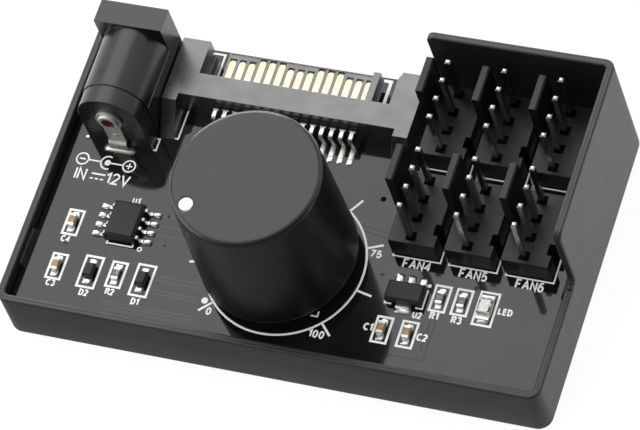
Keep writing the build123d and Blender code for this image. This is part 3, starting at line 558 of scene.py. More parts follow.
metals = {
    "plated_metal": metal("plated_metal", (0.5, 0.49, 0.46), (0.78, 0.77, 0.74), 0.28, 2600.0),
    "shaft_metal": metal("shaft_metal", (0.5, 0.5, 0.5), (0.74, 0.74, 0.74), 0.3, 3000.0, (1, 1, 6)),
    "brass_pin": riveted_pin(),
    "gold_contact": contact_metal(),
    "header_pin": metal(
        "header_pin", (0.44, 0.435, 0.43), (0.55, 0.545, 0.54), 0.2, 2600.0, (6, 6, 1), depth=0.001 * MM
    ),
}
strip_tin = metal("strip_tin", (0.52, 0.51, 0.48), (0.86, 0.85, 0.82), 0.46, 3200.0, depth=0.012 * MM)
print("metals", sorted(metals))

# %% [markdown]
# ## Chip parts
#
# A chip capacitor or resistor is one small block with tinned ends. The CAD node is the whole block,
# so its finish is split by how far a point is from the block's own middle, along its length.

# %% Capacitors and resistors
def chip_block(node, name, dark, light, roughness, end_start):
    """A ceramic middle and two tinned ends, split along Y about the node's own centre."""
    material, tree, shader = finish(name, dark, roughness)
    parts = split(tree, place_nodes(tree, (1, 1, 1), tuple(-middle(node))))
    from_middle = calculate(tree, "ABSOLUTE", parts["Y"])
    end = spread(tree, from_middle, 0.0, 1.0, end_start, end_start + 0.04 * MM)
    cloud = grain(tree, 2400.0, 4.0)
    body = blend_colours(tree, spread(tree, cloud, 0, 1), dark, light)
    tin = blend_colours(tree, spread(tree, cloud, 0, 1), (0.56, 0.55, 0.52), (0.86, 0.85, 0.83))
    tree.links.new(blend_colours(tree, end, body, tin), shader.inputs["Base Color"])
    tree.links.new(end, shader.inputs["Metallic"])
    relief(tree, shader, cloud, 0.01 * MM, 0.6, rounded_edges(tree, 0.08 * MM))
    return material


def led_window():
    """A pale window over the die and a speckled frame of resin and tin round it."""
    material, tree, shader = finish("led_clear", (0.9, 0.9, 0.84), 0.2)
    parts = split(tree, place_nodes(tree, (1, 1, 1), tuple(-middle("led_lens"))))
    sides = [
        calculate(tree, "DIVIDE", calculate(tree, "ABSOLUTE", parts[axis]), half)
        for axis, half in (("X", 0.56 * MM), ("Y", 0.72 * MM))
    ]
    frame_share = spread(tree, calculate(tree, "MAXIMUM", *sides), 0.0, 1.0, 0.94, 1.1)
    cloud = grain(tree, 1900.0, 4.0)
    speckle = grain(tree, 2600.0, 3.0)
    window = blend_colours(tree, spread(tree, cloud, 0, 1), (0.62, 0.62, 0.54), (0.92, 0.92, 0.88))
    specks = spread(tree, speckle, 0, 1, 0.42, 0.58)
    border = blend_colours(tree, specks, (0.05, 0.05, 0.045), (0.7, 0.71, 0.66))
    tree.links.new(blend_colours(tree, frame_share, window, border), shader.inputs["Base Color"])
    relief(tree, shader, cloud, 0.03 * MM, 0.8, rounded_edges(tree, 0.1 * MM))
    return material


def dress(node, material):
    """Give a CAD node one finish."""
    slots = nodes[node].data.materials
    slots.clear()
    slots.append(material)


chip_looks = {
    "capacitor_ceramic": ((0.27, 0.15, 0.08), (0.46, 0.3, 0.18), 0.45, 0.45 * MM),
    "resistor_body": ((0.012, 0.012, 0.013), (0.34, 0.34, 0.33), 0.35, 0.45 * MM),
}
light_look = ((0.6, 0.6, 0.55), (0.86, 0.86, 0.82), 0.4, 1.02 * MM)
for node in nodes:
    slot = next(part["material_slot"] for part in frame["record"]["subparts"] if part["node"] == node)
    if slot in chip_looks:
        dress(node, chip_block(node, node + "_finish", *chip_looks[slot]))
    elif node == "led_base":
        dress(node, chip_block(node, node + "_finish", *light_look))
    elif node == "led_lens":
        dress(node, led_window())
    elif node == "jack_pin_terminal":
        dress(node, strip_tin)
    elif node.startswith("fan_header"):
        dress(node, header_plastic)
    elif node == "sata_housing":
        dress(node, filled_plastic)
    else:
        dress(node, {**plastics, **metals}[slot])
print("dressed", len(nodes), "nodes")

# %% [markdown]
# ## White print on the board
#
# The legend is a thin layer of white ink. Everything in it is a stroke of even width, as a board
# maker's plotter draws it, so one helper is enough: a mitred ribbon through a row of points. All
# ribbons are collected into one sheet that lies a hair above the board.

# %% Ribbons
INK_LIFT = 0.004 * MM
INK_HEIGHT = 0.012 * MM
print_mesh = bmesh.new()
ink_level = board_top + INK_LIFT


def ribbon(points, width, closed=False):
    """A flat mitred stroke through points given in millimetres."""
    points = [point for index, point in enumerate(points) if not index or point != points[index - 1]]
    path = [Vector((x, y)) * MM for x, y in points]
    count = len(path)
    half = width * MM / 2
    sides = []
    for index, point in enumerate(path):
        before = path[index - 1] if index or closed else None
        after = path[(index + 1) % count] if index < count - 1 or closed else None
        into = (point - before).normalized() if before is not None else (after - point).normalized()
        out = (after - point).normalized() if after is not None else into
        normal = Vector((-into.y, into.x)) + Vector((-out.y, out.x))
        normal.normalize()
        reach = half / max(0.4, normal.dot(Vector((-into.y, into.x))))
        sides.append((point + normal * reach, point - normal * reach))
    ring = [[print_mesh.verts.new((spot.x, spot.y, ink_level)) for spot in pair] for pair in sides]
    for index in range(count if closed else count - 1):
        here, there = ring[index], ring[(index + 1) % count]
        print_mesh.faces.new((here[0], here[1], there[1], there[0]))


def arc(centre, radius, start, end, steps=32):
    """Points on an arc, in millimetres and degrees."""
    angles = [radians(start + (end - start) * step / steps) for step in range(steps + 1)]
    return [(centre[0] + radius * cos(angle), centre[1] + radius * sin(angle)) for angle in angles]


def spot(centre, radius, steps=24):
    """A filled ink dot."""
    rim = arc(centre, radius, 0, 360 - 360 / steps, steps - 1)
    print_mesh.faces.new([print_mesh.verts.new((x * MM, y * MM, ink_level)) for x, y in rim])


def box_outline(centre, size, width):
    """A rectangle drawn as one closed stroke."""
    x, y = centre
    side, end = size[0] / 2, size[1] / 2
    corners = [(x - side, y - end), (x + side, y - end), (x + side, y + end), (x - side, y + end)]
    ribbon(corners, width, closed=True)


# %% [markdown]
# ## A plotter's alphabet
#
# Blender's own text would do, but its letters are wider than the legend's and its 1 has no flag. Each
# letter here is a few strokes in a box one unit high; round parts are bows, which are arcs of an
# ellipse. A word sets its letters side by side, a stroke and a little air apart.

# %% Letters and numerals
def bow(centre_x, centre_y, radius_x, radius_y, start, end, steps=10):
    """Points on an arc of an ellipse, in degrees."""
    angles = [radians(start + (end - start) * step / steps) for step in range(steps + 1)]
    return [(centre_x + radius_x * cos(angle), centre_y + radius_y * sin(angle)) for angle in angles]


alphabet = {
    "A": (0.68, [[(0, 0), (0.34, 1), (0.68, 0)], [(0.12, 0.34), (0.56, 0.34)]]),
    "C": (0.64, [bow(0.37, 0.5, 0.37, 0.5, 48, 312, 16)]),
    "D": (0.62, [[(0.25, 0), (0, 0), (0, 1), (0.25, 1)], bow(0.25, 0.5, 0.37, 0.5, 90, -90, 12)]),
    "E": (0.52, [[(0.52, 1), (0, 1), (0, 0), (0.52, 0)], [(0, 0.53), (0.46, 0.53)]]),
    "F": (0.52, [[(0, 0), (0, 1), (0.52, 1)], [(0, 0.5), (0.44, 0.5)]]),
    "I": (0.0, [[(0, 0), (0, 1)]]),
    "L": (0.48, [[(0, 1), (0, 0), (0.48, 0)]]),
    "N": (0.6, [[(0, 0), (0, 1), (0.6, 0), (0.6, 1)]]),
    "R": (0.58, [
        [(0, 0), (0, 1), (0.34, 1)] + bow(0.34, 0.77, 0.22, 0.23, 90, -90) + [(0, 0.54)],
        [(0.3, 0.54), (0.58, 0)],
    ]),
    "U": (0.58, [[(0, 1)] + bow(0.29, 0.3, 0.29, 0.3, 180, 360) + [(0.58, 1)]]),
    "V": (0.62, [[(0, 1), (0.31, 0), (0.62, 1)]]),
    "0": (0.5, [bow(0.25, 0.5, 0.25, 0.5, 0, 360, 20)]),
    "1": (0.26, [[(0, 0.76), (0.26, 1), (0.26, 0)]]),
    "2": (0.5, [bow(0.25, 0.73, 0.25, 0.27, 165, -35) + [(0, 0), (0.5, 0)]]),
    "3": (0.5, [bow(0.23, 0.76, 0.24, 0.24, 150, -90), bow(0.23, 0.26, 0.27, 0.26, 90, -150)]),
    "4": (0.56, [[(0.42, 0), (0.42, 1), (0, 0.3), (0.56, 0.3)]]),
    "5": (0.52, [[(0.46, 1), (0.1, 1), (0.03, 0.5)] + bow(0.25, 0.32, 0.27, 0.32, 125, -145, 12)]),
    "6": (0.52, [bow(0.26, 0.31, 0.26, 0.31, 0, 360, 16), bow(0.36, 0.34, 0.36, 0.66, 180, 72)]),
    "7": (0.5, [[(0, 1), (0.5, 1), (0.18, 0)]]),
}


def word(text, centre, height, stroke=0.22, spread_out=1.0):
    """A word centred on a place: the height of its capitals, the pen's width and a stretch along the line."""
    rise = height - stroke
    gap = stroke / rise + 0.1
    wide = sum(alphabet[letter][0] for letter in text) + gap * (len(text) - 1)
    left = centre[0] - wide * rise * spread_out / 2
    low = centre[1] - rise / 2
    for letter in text:
        width, strokes = alphabet[letter]
        for points in strokes:
            ribbon([(left + x * rise * spread_out, low + y * rise) for x, y in points], stroke)
        left += (width + gap) * rise * spread_out


# %% [markdown]
# ## What the legend says
#
# Each part has a frame and a reference name beside it. The dial has its numbers, the headers have
# theirs, and the jack has the usual sign for its polarity and voltage.

# %% Part frames and names
LINE = 0.29
HEADER_LINE = 0.2
LIGHT_LINE = 0.28


def flat_middle(node):
    """Centre of a node on the board, in millimetres."""
    centre = middle(node)
    return (centre.x / MM, centre.y / MM)


for number in range(1, 5):
    box_outline(flat_middle(f"capacitor_{number}"), (1.85, 3.35), LINE)
for number in range(1, 4):
    box_outline(flat_middle(f"resistor_{number}"), (1.85, 3.35), LINE)
for number in (1, 2):
    box_outline(flat_middle(f"diode_{number}"), (2.2, 4.2), LINE)
box_outline(flat_middle("led_base"), (2.25, 4.35), LIGHT_LINE)
part_names = {
    "C1": (11.3, -14.0), "C2": (18.05, -14.12), "C3": (-29.06, -15.82), "C4": (-29.25, -9.68),
    "D1": (-17.8, -16.28), "D2": (-24.51, -16.33), "R1": (18.63, -11.1), "R2": (-21.34, -15.6),
    "R3": (21.41, -11.13), "U1": (-22.18, -3.05), "U2": (16.61, -11.4), "LED": (26.83, -8.98),
}
for name, place in part_names.items():
    small = place[0] < 0 or name in ("U2", "LED")
    word(name, place, 0.9 if small else 1.0, 0.2 if small else 0.22, 0.94)
for number, place in ((4, (14.6, -4.93)), (5, (21.65, -4.93)), (6, (28.66, -5.0))):
    word(f"FAN{number}", place, 1.32, 0.24, 0.92)
for number in (1, 2, 3):
    low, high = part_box(f"fan_header_{number}")
    front_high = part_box(f"fan_header_{number + 3}")[1]
    word(f"FAN{number}", ((low.x + high.x) / 2 / MM, (low.y + front_high.y) / 2 / MM - 0.08), 0.8, 0.16)
for number in range(1, 7):
    low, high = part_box(f"fan_header_{number}")
    outline = ((high.x - low.x) / MM + 0.16, (high.y - low.y) / MM + 0.5)
    box_outline(((low.x + high.x) / 2 / MM + 0.2, (low.y + high.y) / 2 / MM), outline, HEADER_LINE)
print("names", len(part_names))

# %% Jack sign, brackets and numbers
for sign_x in (-30.94, -24.74):
    ribbon(arc((sign_x, 1.46), 0.78, 0, 360 - 12, 29), 0.2, closed=True)
ribbon([(-31.35, 1.45), (-30.53, 1.45)], 0.22)
ribbon([(-25.15, 1.46), (-24.33, 1.46)], 0.2)
ribbon([(-24.74, 1.05), (-24.74, 1.87)], 0.2)
ribbon([(-30.15, 1.45), (-28.5, 1.45)], 0.2)
ribbon(arc((-27.59, 1.45), 0.88, 65, 295, 24), 0.2)
spot((-27.59, 1.45), 0.4)
ribbon([(-27.3, 1.45), (-25.52, 1.46)], 0.2)
word("IN", (-30.5, -0.6), 1.7, 0.24)
ribbon([(-29.1, -0.3), (-27.27, -0.3)], 0.22)
for dash in range(3):
    ribbon([(-29.15 + dash * 0.68, -0.98), (-28.72 + dash * 0.68, -0.98)], 0.2)
word("12V", (-25.55, -0.6), 1.6, 0.24, 1.12)
ribbon([(-23.95, -8.9), (-23.95, -9.25), (-20.6, -9.25), (-20.6, -8.9)], 0.22)
ribbon(arc((-19.6, -9.35), 0.26, 0, 345, 20), 0.16, closed=True)
ribbon([(16.95, -8.0), (16.95, -10.5), (16.1, -10.5)], 0.2)
ribbon([(12.25, -8.4), (12.25, -10.5), (13.1, -10.5)], 0.2)
spot((16.95, -7.35), 0.24)
ribbon([(-19.9, 10.4), (-19.9, 6.3), (-20.3, 6.3)], 0.22)
ribbon([(-22.5, 5.85), (-22.15, 5.85), (-22.15, 4.25), (-22.5, 4.25)], 0.22)
ribbon([(7.35, 10.4), (7.35, 6.3), (7.75, 6.3)], 0.22)
ribbon([(-20.6, 18.9), (-17.85, 18.9), (-17.85, 14.6)], 0.26)
ribbon([(3.0, 18.9), (3.95, 18.9), (3.95, 14.6)], 0.42)
print("signs drawn")

# %% [markdown]
# ## The dial's scale
#
# The scale repeats one tick round a ring, so Geometry Nodes draw it: a ring swept with a flat
# profile, and points on a circle that each carry a tick turned outwards. The centre is the ring's
# own, a little off the knob's axis, as on the real board.

# %% Dial numbers
ring_centre = (-1.2, -7.55)
NUMBER_RADIUS = 13.4
FIRST_ANGLE = -135.5
SWEEP = 270.3
for share, text, place in (
    (0.0, "0", (-8.4, -15.75)),
    (0.25, "25", None),
    (0.5, "50", None),
    (0.75, "75", (9.28, -4.42)),
    (1.0, "100", (5.45, -16.15)),
):
    angle = radians(FIRST_ANGLE - SWEEP * share)
    on_ring = (ring_centre[0] + NUMBER_RADIUS * cos(angle), ring_centre[1] + NUMBER_RADIUS * sin(angle))
    here = place or on_ring
    word(text, here, 1.06, 0.21, 1.08)
spot((-9.33, -14.49), 0.42)
ribbon([(4.0, -13.9), (4.85, -13.9), (4.85, -13.2)], 0.2)


# %% Scale from Geometry Nodes
def new_tree(name, *inputs):
    """A geometry tree with a geometry input and output and named number inputs."""
    tree = bpy.data.node_groups.new(name, "GeometryNodeTree")
    tree.interface.new_socket("Geometry", in_out="INPUT", socket_type="NodeSocketGeometry")
    for title, kind, value in inputs:
        socket = tree.interface.new_socket(title, in_out="INPUT", socket_type=kind)
        if value is not None:
            socket.default_value = value
    tree.interface.new_socket("Geometry", in_out="OUTPUT", socket_type="NodeSocketGeometry")
    return tree, tree.nodes.new("NodeGroupInput"), tree.nodes.new("NodeGroupOutput")


def hand_out(tree, geometry, material, result):
    """End a tree: make its copies real, give them their material and put them out."""
    real = tree.nodes.new("GeometryNodeRealizeInstances")
    tree.links.new(geometry, real.inputs[0])
    painted = tree.nodes.new("GeometryNodeSetMaterial")
    painted.inputs["Material"].default_value = material
    tree.links.new(real.outputs[0], painted.inputs["Geometry"])
    tree.links.new(painted.outputs[0], result.inputs[0])


def scale_tree(material):
    """Ring and ticks of a dial."""
    number = "NodeSocketFloat"
    tree, given, result = new_tree(
        "dial_scale", ("Ticks", "NodeSocketInt", 9), ("First Angle", number, 0.0), ("Step", number, 0.1),
        ("Ring Radius", number, 0.01), ("Tick Length", number, 0.002), ("Line Width", number, 0.0003),
        ("Ink Height", number, 0.00001),
    )
    put = given.outputs
    circle = tree.nodes.new("GeometryNodeCurvePrimitiveCircle")
    circle.inputs["Resolution"].default_value = 144
    tree.links.new(put["Ring Radius"], circle.inputs["Radius"])
    flat = tree.nodes.new("GeometryNodeCurvePrimitiveQuadrilateral")
    tree.links.new(put["Line Width"], flat.inputs["Width"])
    tree.links.new(put["Ink Height"], flat.inputs["Height"])
    ring = tree.nodes.new("GeometryNodeCurveToMesh")
    tree.links.new(circle.outputs["Curve"], ring.inputs["Curve"])
    tree.links.new(flat.outputs["Curve"], ring.inputs["Profile Curve"])
    dots = tree.nodes.new("GeometryNodePoints")
    tree.links.new(put["Ticks"], dots.inputs["Count"])
    index = tree.nodes.new("GeometryNodeInputIndex")
    turned = calculate(tree, "MULTIPLY", index.outputs[0], put["Step"])
    angle = calculate(tree, "SUBTRACT", put["First Angle"], turned)
    reach = calculate(tree, "ADD", put["Ring Radius"], calculate(tree, "MULTIPLY", put["Tick Length"], 0.5))
    place = tree.nodes.new("ShaderNodeCombineXYZ")
    tree.links.new(calculate(tree, "MULTIPLY", reach, calculate(tree, "COSINE", angle, 0)), place.inputs["X"])
    tree.links.new(calculate(tree, "MULTIPLY", reach, calculate(tree, "SINE", angle, 0)), place.inputs["Y"])
    tree.links.new(place.outputs[0], dots.inputs["Position"])
    bar_size = tree.nodes.new("ShaderNodeCombineXYZ")
    tree.links.new(put["Tick Length"], bar_size.inputs["X"])
    tree.links.new(put["Line Width"], bar_size.inputs["Y"])
    tree.links.new(put["Ink Height"], bar_size.inputs["Z"])
    bar = tree.nodes.new("GeometryNodeMeshCube")
    tree.links.new(bar_size.outputs[0], bar.inputs["Size"])
    turn = tree.nodes.new("ShaderNodeCombineXYZ")
    tree.links.new(angle, turn.inputs["Z"])
    ticks = tree.nodes.new("GeometryNodeInstanceOnPoints")
    tree.links.new(dots.outputs[0], ticks.inputs["Points"])
    tree.links.new(bar.outputs["Mesh"], ticks.inputs["Instance"])
    tree.links.new(turn.outputs[0], ticks.inputs["Rotation"])
    both = tree.nodes.new("GeometryNodeJoinGeometry")
    tree.links.new(ring.outputs["Mesh"], both.inputs[0])
    tree.links.new(ticks.outputs["Instances"], both.inputs[0])
    hand_out(tree, both.outputs[0], material, result)
    return tree


def plain_mesh(name, tree, values, seed_mesh=None):
    """Run a geometry tree on a seed mesh and keep the result as a plain mesh object at the origin."""
    holder = add_object(name, seed_mesh or bpy.data.meshes.new(name + "_seed"))
    modifier = holder.modifiers.new(name, "NODES")
    modifier.node_group = tree
    sockets = {item.name: item.identifier for item in tree.interface.items_tree if item.in_out == "INPUT"}
    for title, value in values.items():
        modifier[sockets[title]] = value
    bpy.context.view_layer.update()
    made = bpy.data.meshes.new_from_object(holder.evaluated_get(bpy.context.evaluated_depsgraph_get()))
    made.name = name
    holder.modifiers.clear()
    holder.data = made
    shape = bmesh.new()
    shape.from_mesh(made)
    bmesh.ops.remove_doubles(shape, verts=shape.verts, dist=1e-7)
    bmesh.ops.recalc_face_normals(shape, faces=shape.faces)
    shape.to_mesh(made)
    shape.free()
    return holder


white_ink = moulded(
    "white_ink", (0.82, 0.82, 0.81), (0.9, 0.9, 0.89), 0.55, 5000.0, 0.004 * MM, 0.01 * MM, specular=0.25
)
# Painted light: the ink glows a little, so it stays white where the headers shade it.
ink_painted_glow = white_ink.node_tree.nodes["Principled BSDF"]
ink_painted_glow.inputs["Emission Color"].default_value = (1, 1, 1, 1)
ink_painted_glow.inputs["Emission Strength"].default_value = 0.12
dial_scale = plain_mesh(
    "dial_scale",
    scale_tree(white_ink),
    {
        "Ticks": 9,
        "First Angle": radians(FIRST_ANGLE),
        "Step": radians(SWEEP / 8),
        "Ring Radius": 9.83 * MM,
        "Tick Length": 2.1 * MM,
        "Line Width": 0.28 * MM,
        "Ink Height": INK_HEIGHT,
    },
)
scale_place = (ring_centre[0] * MM, ring_centre[1] * MM, board_top + INK_HEIGHT / 2)
dial_scale.data.transform(Matrix.Translation(scale_place))
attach(dial_scale, "base")
print("scale faces", len(dial_scale.data.polygons))

# %% Finish the print
board_print = add_object("board_print", bpy.data.meshes.new("board_print"))
print_mesh.to_mesh(board_print.data)
print_mesh.free()
thick = board_print.modifiers.new("ink", "SOLIDIFY")
thick.thickness = INK_HEIGHT - INK_LIFT
thick.offset = 1.0
bpy.context.view_layer.update()
inked = bpy.data.meshes.new_from_object(board_print.evaluated_get(bpy.context.evaluated_depsgraph_get()))
board_print.modifiers.clear()
board_print.data = inked
inked.materials.clear()
inked.materials.append(white_ink)
for face in inked.polygons:
    face.material_index = 0
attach(board_print, "base")
print("print faces", len(inked.polygons))

# %% [markdown]
# ## Tinned pads and solder
#
# Every part stands on tinned pads, and the molten tin has drawn up into small cushions. One cushion
# shape is repeated at every pad: Geometry Nodes put it on a cloud of points, and each point carries
# its own size.

# %% Pads
def cushion_mesh(steps=8):
    """A unit cushion: a square that swells towards its middle, flat underneath."""
    shape = bmesh.new()
    grid = []
    for row in range(steps + 1):
        line = []
        for column in range(steps + 1):
            u = -1 + 2 * column / steps
            v = -1 + 2 * row / steps
            swell = (1 - abs(u) ** 3) * (1 - abs(v) ** 3)
            rounding = 1 - 0.12 * (u * v) ** 2
            line.append(shape.verts.new((u * rounding / 2, v * rounding / 2, 0.15 + 0.85 * swell**0.6)))
        grid.append(line)
    for row in range(steps):
        for column in range(steps):
            near, far = grid[row], grid[row + 1]
            shape.faces.new((near[column], near[column + 1], far[column + 1], far[column]))
    rim = bmesh.ops.extrude_edge_only(shape, edges=[edge for edge in shape.edges if edge.is_boundary])
    for item in rim["geom"]:
        if isinstance(item, bmesh.types.BMVert):
            item.co.z = 0.0
    bmesh.ops.contextual_create(shape, geom=[edge for edge in shape.edges if edge.is_boundary])
    bmesh.ops.recalc_face_normals(shape, faces=shape.faces)
    for face in shape.faces:
        face.smooth = True
    mesh = bpy.data.meshes.new("solder_cushion")
    shape.to_mesh(mesh)
    shape.free()
    return mesh


def cushions_tree(cushion, material):
    """Put the cushion on every point, at the size that the point carries."""
    tree, given, result = new_tree("solder_cushions", ("Cushion Scale", "NodeSocketFloat", 1.0))
    shape = tree.nodes.new("GeometryNodeObjectInfo")
    shape.inputs["Object"].default_value = cushion
    size = tree.nodes.new("GeometryNodeInputNamedAttribute")
    size.data_type = "FLOAT_VECTOR"
    size.inputs["Name"].default_value = "pad_size"
    sized = tree.nodes.new("ShaderNodeVectorMath")
    sized.operation = "SCALE"
    tree.links.new(size.outputs["Attribute"], sized.inputs[0])
    tree.links.new(given.outputs["Cushion Scale"], sized.inputs["Scale"])
    copies = tree.nodes.new("GeometryNodeInstanceOnPoints")
    tree.links.new(given.outputs["Geometry"], copies.inputs["Points"])
    tree.links.new(shape.outputs["Geometry"], copies.inputs["Instance"])
    tree.links.new(sized.outputs[0], copies.inputs["Scale"])
    hand_out(tree, copies.outputs[0], material, result)
    return tree


def repeat_on_board(name, unit, material, spots):
    """A small mesh repeated on the board's top at places with sizes, both in millimetres."""
    points = bpy.data.meshes.new(name + "_points")
    points.from_pydata([(x * MM, y * MM, board_top) for (x, y), size in spots], [], [])
    sizes = points.attributes.new("pad_size", "FLOAT_VECTOR", "POINT")
    for index, (place, size) in enumerate(spots):
        sizes.data[index].vector = [value * MM for value in size]
    original = add_object(unit.name, unit)
    made = plain_mesh(name, cushions_tree(original, material), {"Cushion Scale": 1.0}, points)
    bpy.data.objects.remove(original)
    return made


LEAD_PITCH = 1.27
pads = []
for kind, count, reach, size in (
    ("capacitor", 4, 0.96, (1.04, 1.0, 0.16)),
    ("resistor", 3, 0.96, (1.04, 1.0, 0.12)),
):
    for number in range(1, count + 1):
        x, y = flat_middle(f"{kind}_{number}")
        pads += [((x, y + side * reach), size) for side in (-1, 1)]
for number in (1, 2):
    x, y = flat_middle(f"diode_{number}")
    pads += [((x, y + side * 1.25), (1.15, 1.0, 0.24)) for side in (-1, 1)]
x, y = flat_middle("led_base")
pads += [((x, y + side * 1.5), (1.5, 0.95, 0.3)) for side in (-1, 1)]
x, y = flat_middle("driver_chip")
for row in range(4):
    pads += [((x + side * 3.35, y + (row - 1.5) * LEAD_PITCH), (1.3, 0.8, 0.46)) for side in (-1, 1)]
x, y = flat_middle("regulator")
pads += [((x + step * 1.5, y + 2.1), (1.1, 1.5, 0.3)) for step in (-1, 0, 1)]
pads.append(((x, y - 1.75), (2.1, 1.3, 0.3)))
pads.append(((-26.65, 3.6), (4.3, 1.25, 0.42)))
pads.append(((-31.33, 4.5), (0.75, 0.5, 0.2)))
contact_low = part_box("sata_contacts_short")[0]
first_contact = contact_low.x / MM + 0.42
for number in range(15):
    pads.append(((first_contact + LEAD_PITCH * number, 7.88), (0.78, 2.64, 0.1)))

solder_tin = metal("solder_tin", (0.62, 0.61, 0.58), (0.9, 0.89, 0.87), 0.3, 1800.0)
solder_pads = repeat_on_board("solder_pads", cushion_mesh(), solder_tin, pads)
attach(solder_pads, "base")
print("pads", len(pads), "faces", len(solder_pads.data.polygons))

# %% [markdown]
# ## Copper under the mask
#
# The tracks of a board show through its black mask as faint raised lines, and the gaps in the copper
# as darker ones. Each line follows a path, so Geometry Nodes sweep a flat profile along edges: one
# tree, used once for the tracks and once for the gaps.

# %% Tracks and gaps
def swept_tree(material):
    """A flat profile swept along the edges that come in."""
    number = "NodeSocketFloat"
    tree, given, result = new_tree(
        "swept_lines", ("Line Width", number, 0.0002), ("Line Height", number, 0.00001)
    )
    paths = tree.nodes.new("GeometryNodeMeshToCurve")
    tree.links.new(given.outputs["Geometry"], paths.inputs["Mesh"])
    profile = tree.nodes.new("GeometryNodeCurvePrimitiveQuadrilateral")
    profile.mode = "TRAPEZOID"
    profile.inputs["Offset"].default_value = 0.0
    tree.links.new(given.outputs["Line Width"], profile.inputs["Bottom Width"])
    narrower = calculate(tree, "MULTIPLY", given.outputs["Line Width"], 0.6)
    tree.links.new(narrower, profile.inputs["Top Width"])
    tree.links.new(given.outputs["Line Height"], profile.inputs["Height"])
    swept = tree.nodes.new("GeometryNodeCurveToMesh")
    swept.inputs["Fill Caps"].default_value = True
    upright = tree.nodes.new("GeometryNodeSetCurveNormal")
    upright.mode = "Z_UP"
    tree.links.new(paths.outputs["Curve"], upright.inputs["Curve"])
    tree.links.new(upright.outputs["Curve"], swept.inputs["Curve"])
    tree.links.new(profile.outputs["Curve"], swept.inputs["Profile Curve"])
    faceted = tree.nodes.new("GeometryNodeSetShadeSmooth")
    faceted.inputs["Shade Smooth"].default_value = False
    tree.links.new(swept.outputs["Mesh"], faceted.inputs["Geometry"])
    hand_out(tree, faceted.outputs["Geometry"], material, result)
    return tree


def path_edges(name, paths):
    """A mesh of edges through rows of points in millimetres."""
    corners = []
    edges = []
    for path in paths:
        first = len(corners)
        corners += [Vector(point) * MM for point in path]
        edges += [(first + step, first + step + 1) for step in range(len(path) - 1)]
    mesh = bpy.data.meshes.new(name)
    mesh.from_pydata(corners, edges, [])
    return mesh


COPPER_LIFT = 0.001
COPPER_HEIGHT = 0.006


def on_board(points):
    """Points on the board's top, in millimetres."""
    return [(x, y, board_top / MM + COPPER_LIFT) for x, y in points]


track_lines = [[(-18.2, y), (-12.4, y - 0.1)] for y in (-4.5, -5.8, -7.0)]
track_lines += [[(-16.2, y), (-10.4, y - 0.1)] for y in (-12.4, -13.0, -14.3, -14.8)]
track_lines += [[(-22.0, y), (-9.8, y)] for y in (-16.9, -17.4, -17.9)]
track_lines += [[(-23.15, -10.27), (-22.74, -10.89), (-22.24, -11.36), (-21.5, -11.6)]]
gap_lines = [
    [(19.05, -11.6), (19.05, -17.04), (12.34, -17.12)],
    [(18.42, -11.7), (18.32, -15.8)],
    [(6.28, -0.97), (10.13, -1.49), (10.25, 1.18)],
    [(6.2, -1.6), (9.9, -2.1)],
    [(12.6, -10.7), (12.4, -12.3)],
    [(13.3, -10.9), (13.1, -12.3)],
]
mask_track = board_mask("mask_track", (0.012, 0.012, 0.0125), (0.018, 0.018, 0.0185), 0.065, 0.6)
mask_gap = board_mask("mask_gap", (0.002, 0.002, 0.002), (0.004, 0.004, 0.004), 0.12, 0.34)
for name, paths, width, material in (
    ("board_tracks", track_lines, 0.2, mask_track),
    ("board_gaps", gap_lines, 0.11, mask_gap),
):
    seed = path_edges(name + "_paths", [on_board(path) for path in paths])
    profile_size = {"Line Width": width * MM, "Line Height": COPPER_HEIGHT * MM}
    lines = plain_mesh(name, swept_tree(material), profile_size, seed)
    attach(lines, "base")
    tops = [vertex.co.z for vertex in lines.data.vertices]
    tall = round((max(tops) - min(tops)) / MM, 4)
    print(name, "lines", len(paths), "faces", len(lines.data.polygons), "height", tall)

# %% [markdown]
# ## Vias
#
# A via is a plated hole under the mask: a low ring with a dark middle. The ring is one small mesh,
# put on a few points by the tree that also places the solder. One hole beside the dial is left bare:
# it is a thin black disc on the board, whose black is the hole's painted shade.

# %% Vias
def via_mesh(steps=12):
    """A unit via: a rounded ring and a sunken middle, flat underneath."""
    shape = bmesh.new()
    levels = ((0.5, 0.0), (0.42, 0.8), (0.26, 1.0), (0.16, 0.2))
    rings = []
    angles = [2 * pi * step / steps for step in range(steps)]
    for radius, height in levels:
        places = [(radius * cos(angle), radius * sin(angle), height) for angle in angles]
        rings.append([shape.verts.new(place) for place in places])
    for outer, inner in zip(rings, rings[1:]):
        for step in range(steps):
            after = (step + 1) % steps
            shape.faces.new((outer[step], outer[after], inner[after], inner[step]))
    shape.faces.new(rings[-1])
    shape.faces.new(list(reversed(rings[0])))
    bmesh.ops.recalc_face_normals(shape, faces=shape.faces)
    mesh = bpy.data.meshes.new("via_ring")
    shape.to_mesh(mesh)
    shape.free()
    return mesh


via_spots = [
    (-17.45, -4.38, 0.42), (-16.69, -8.28, 0.42), (-29.04, -10.23, 0.5), (10.9, -6.9, 0.5), (22.5, -6.6, 0.6)
]
VIA_HEIGHT = 0.02
via_sizes = [((x, y), (wide, wide, VIA_HEIGHT)) for x, y, wide in via_spots]
vias = repeat_on_board("vias", via_mesh(), mask_gap, via_sizes)
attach(vias, "base")
print("vias", len(via_spots), "faces", len(vias.data.polygons))

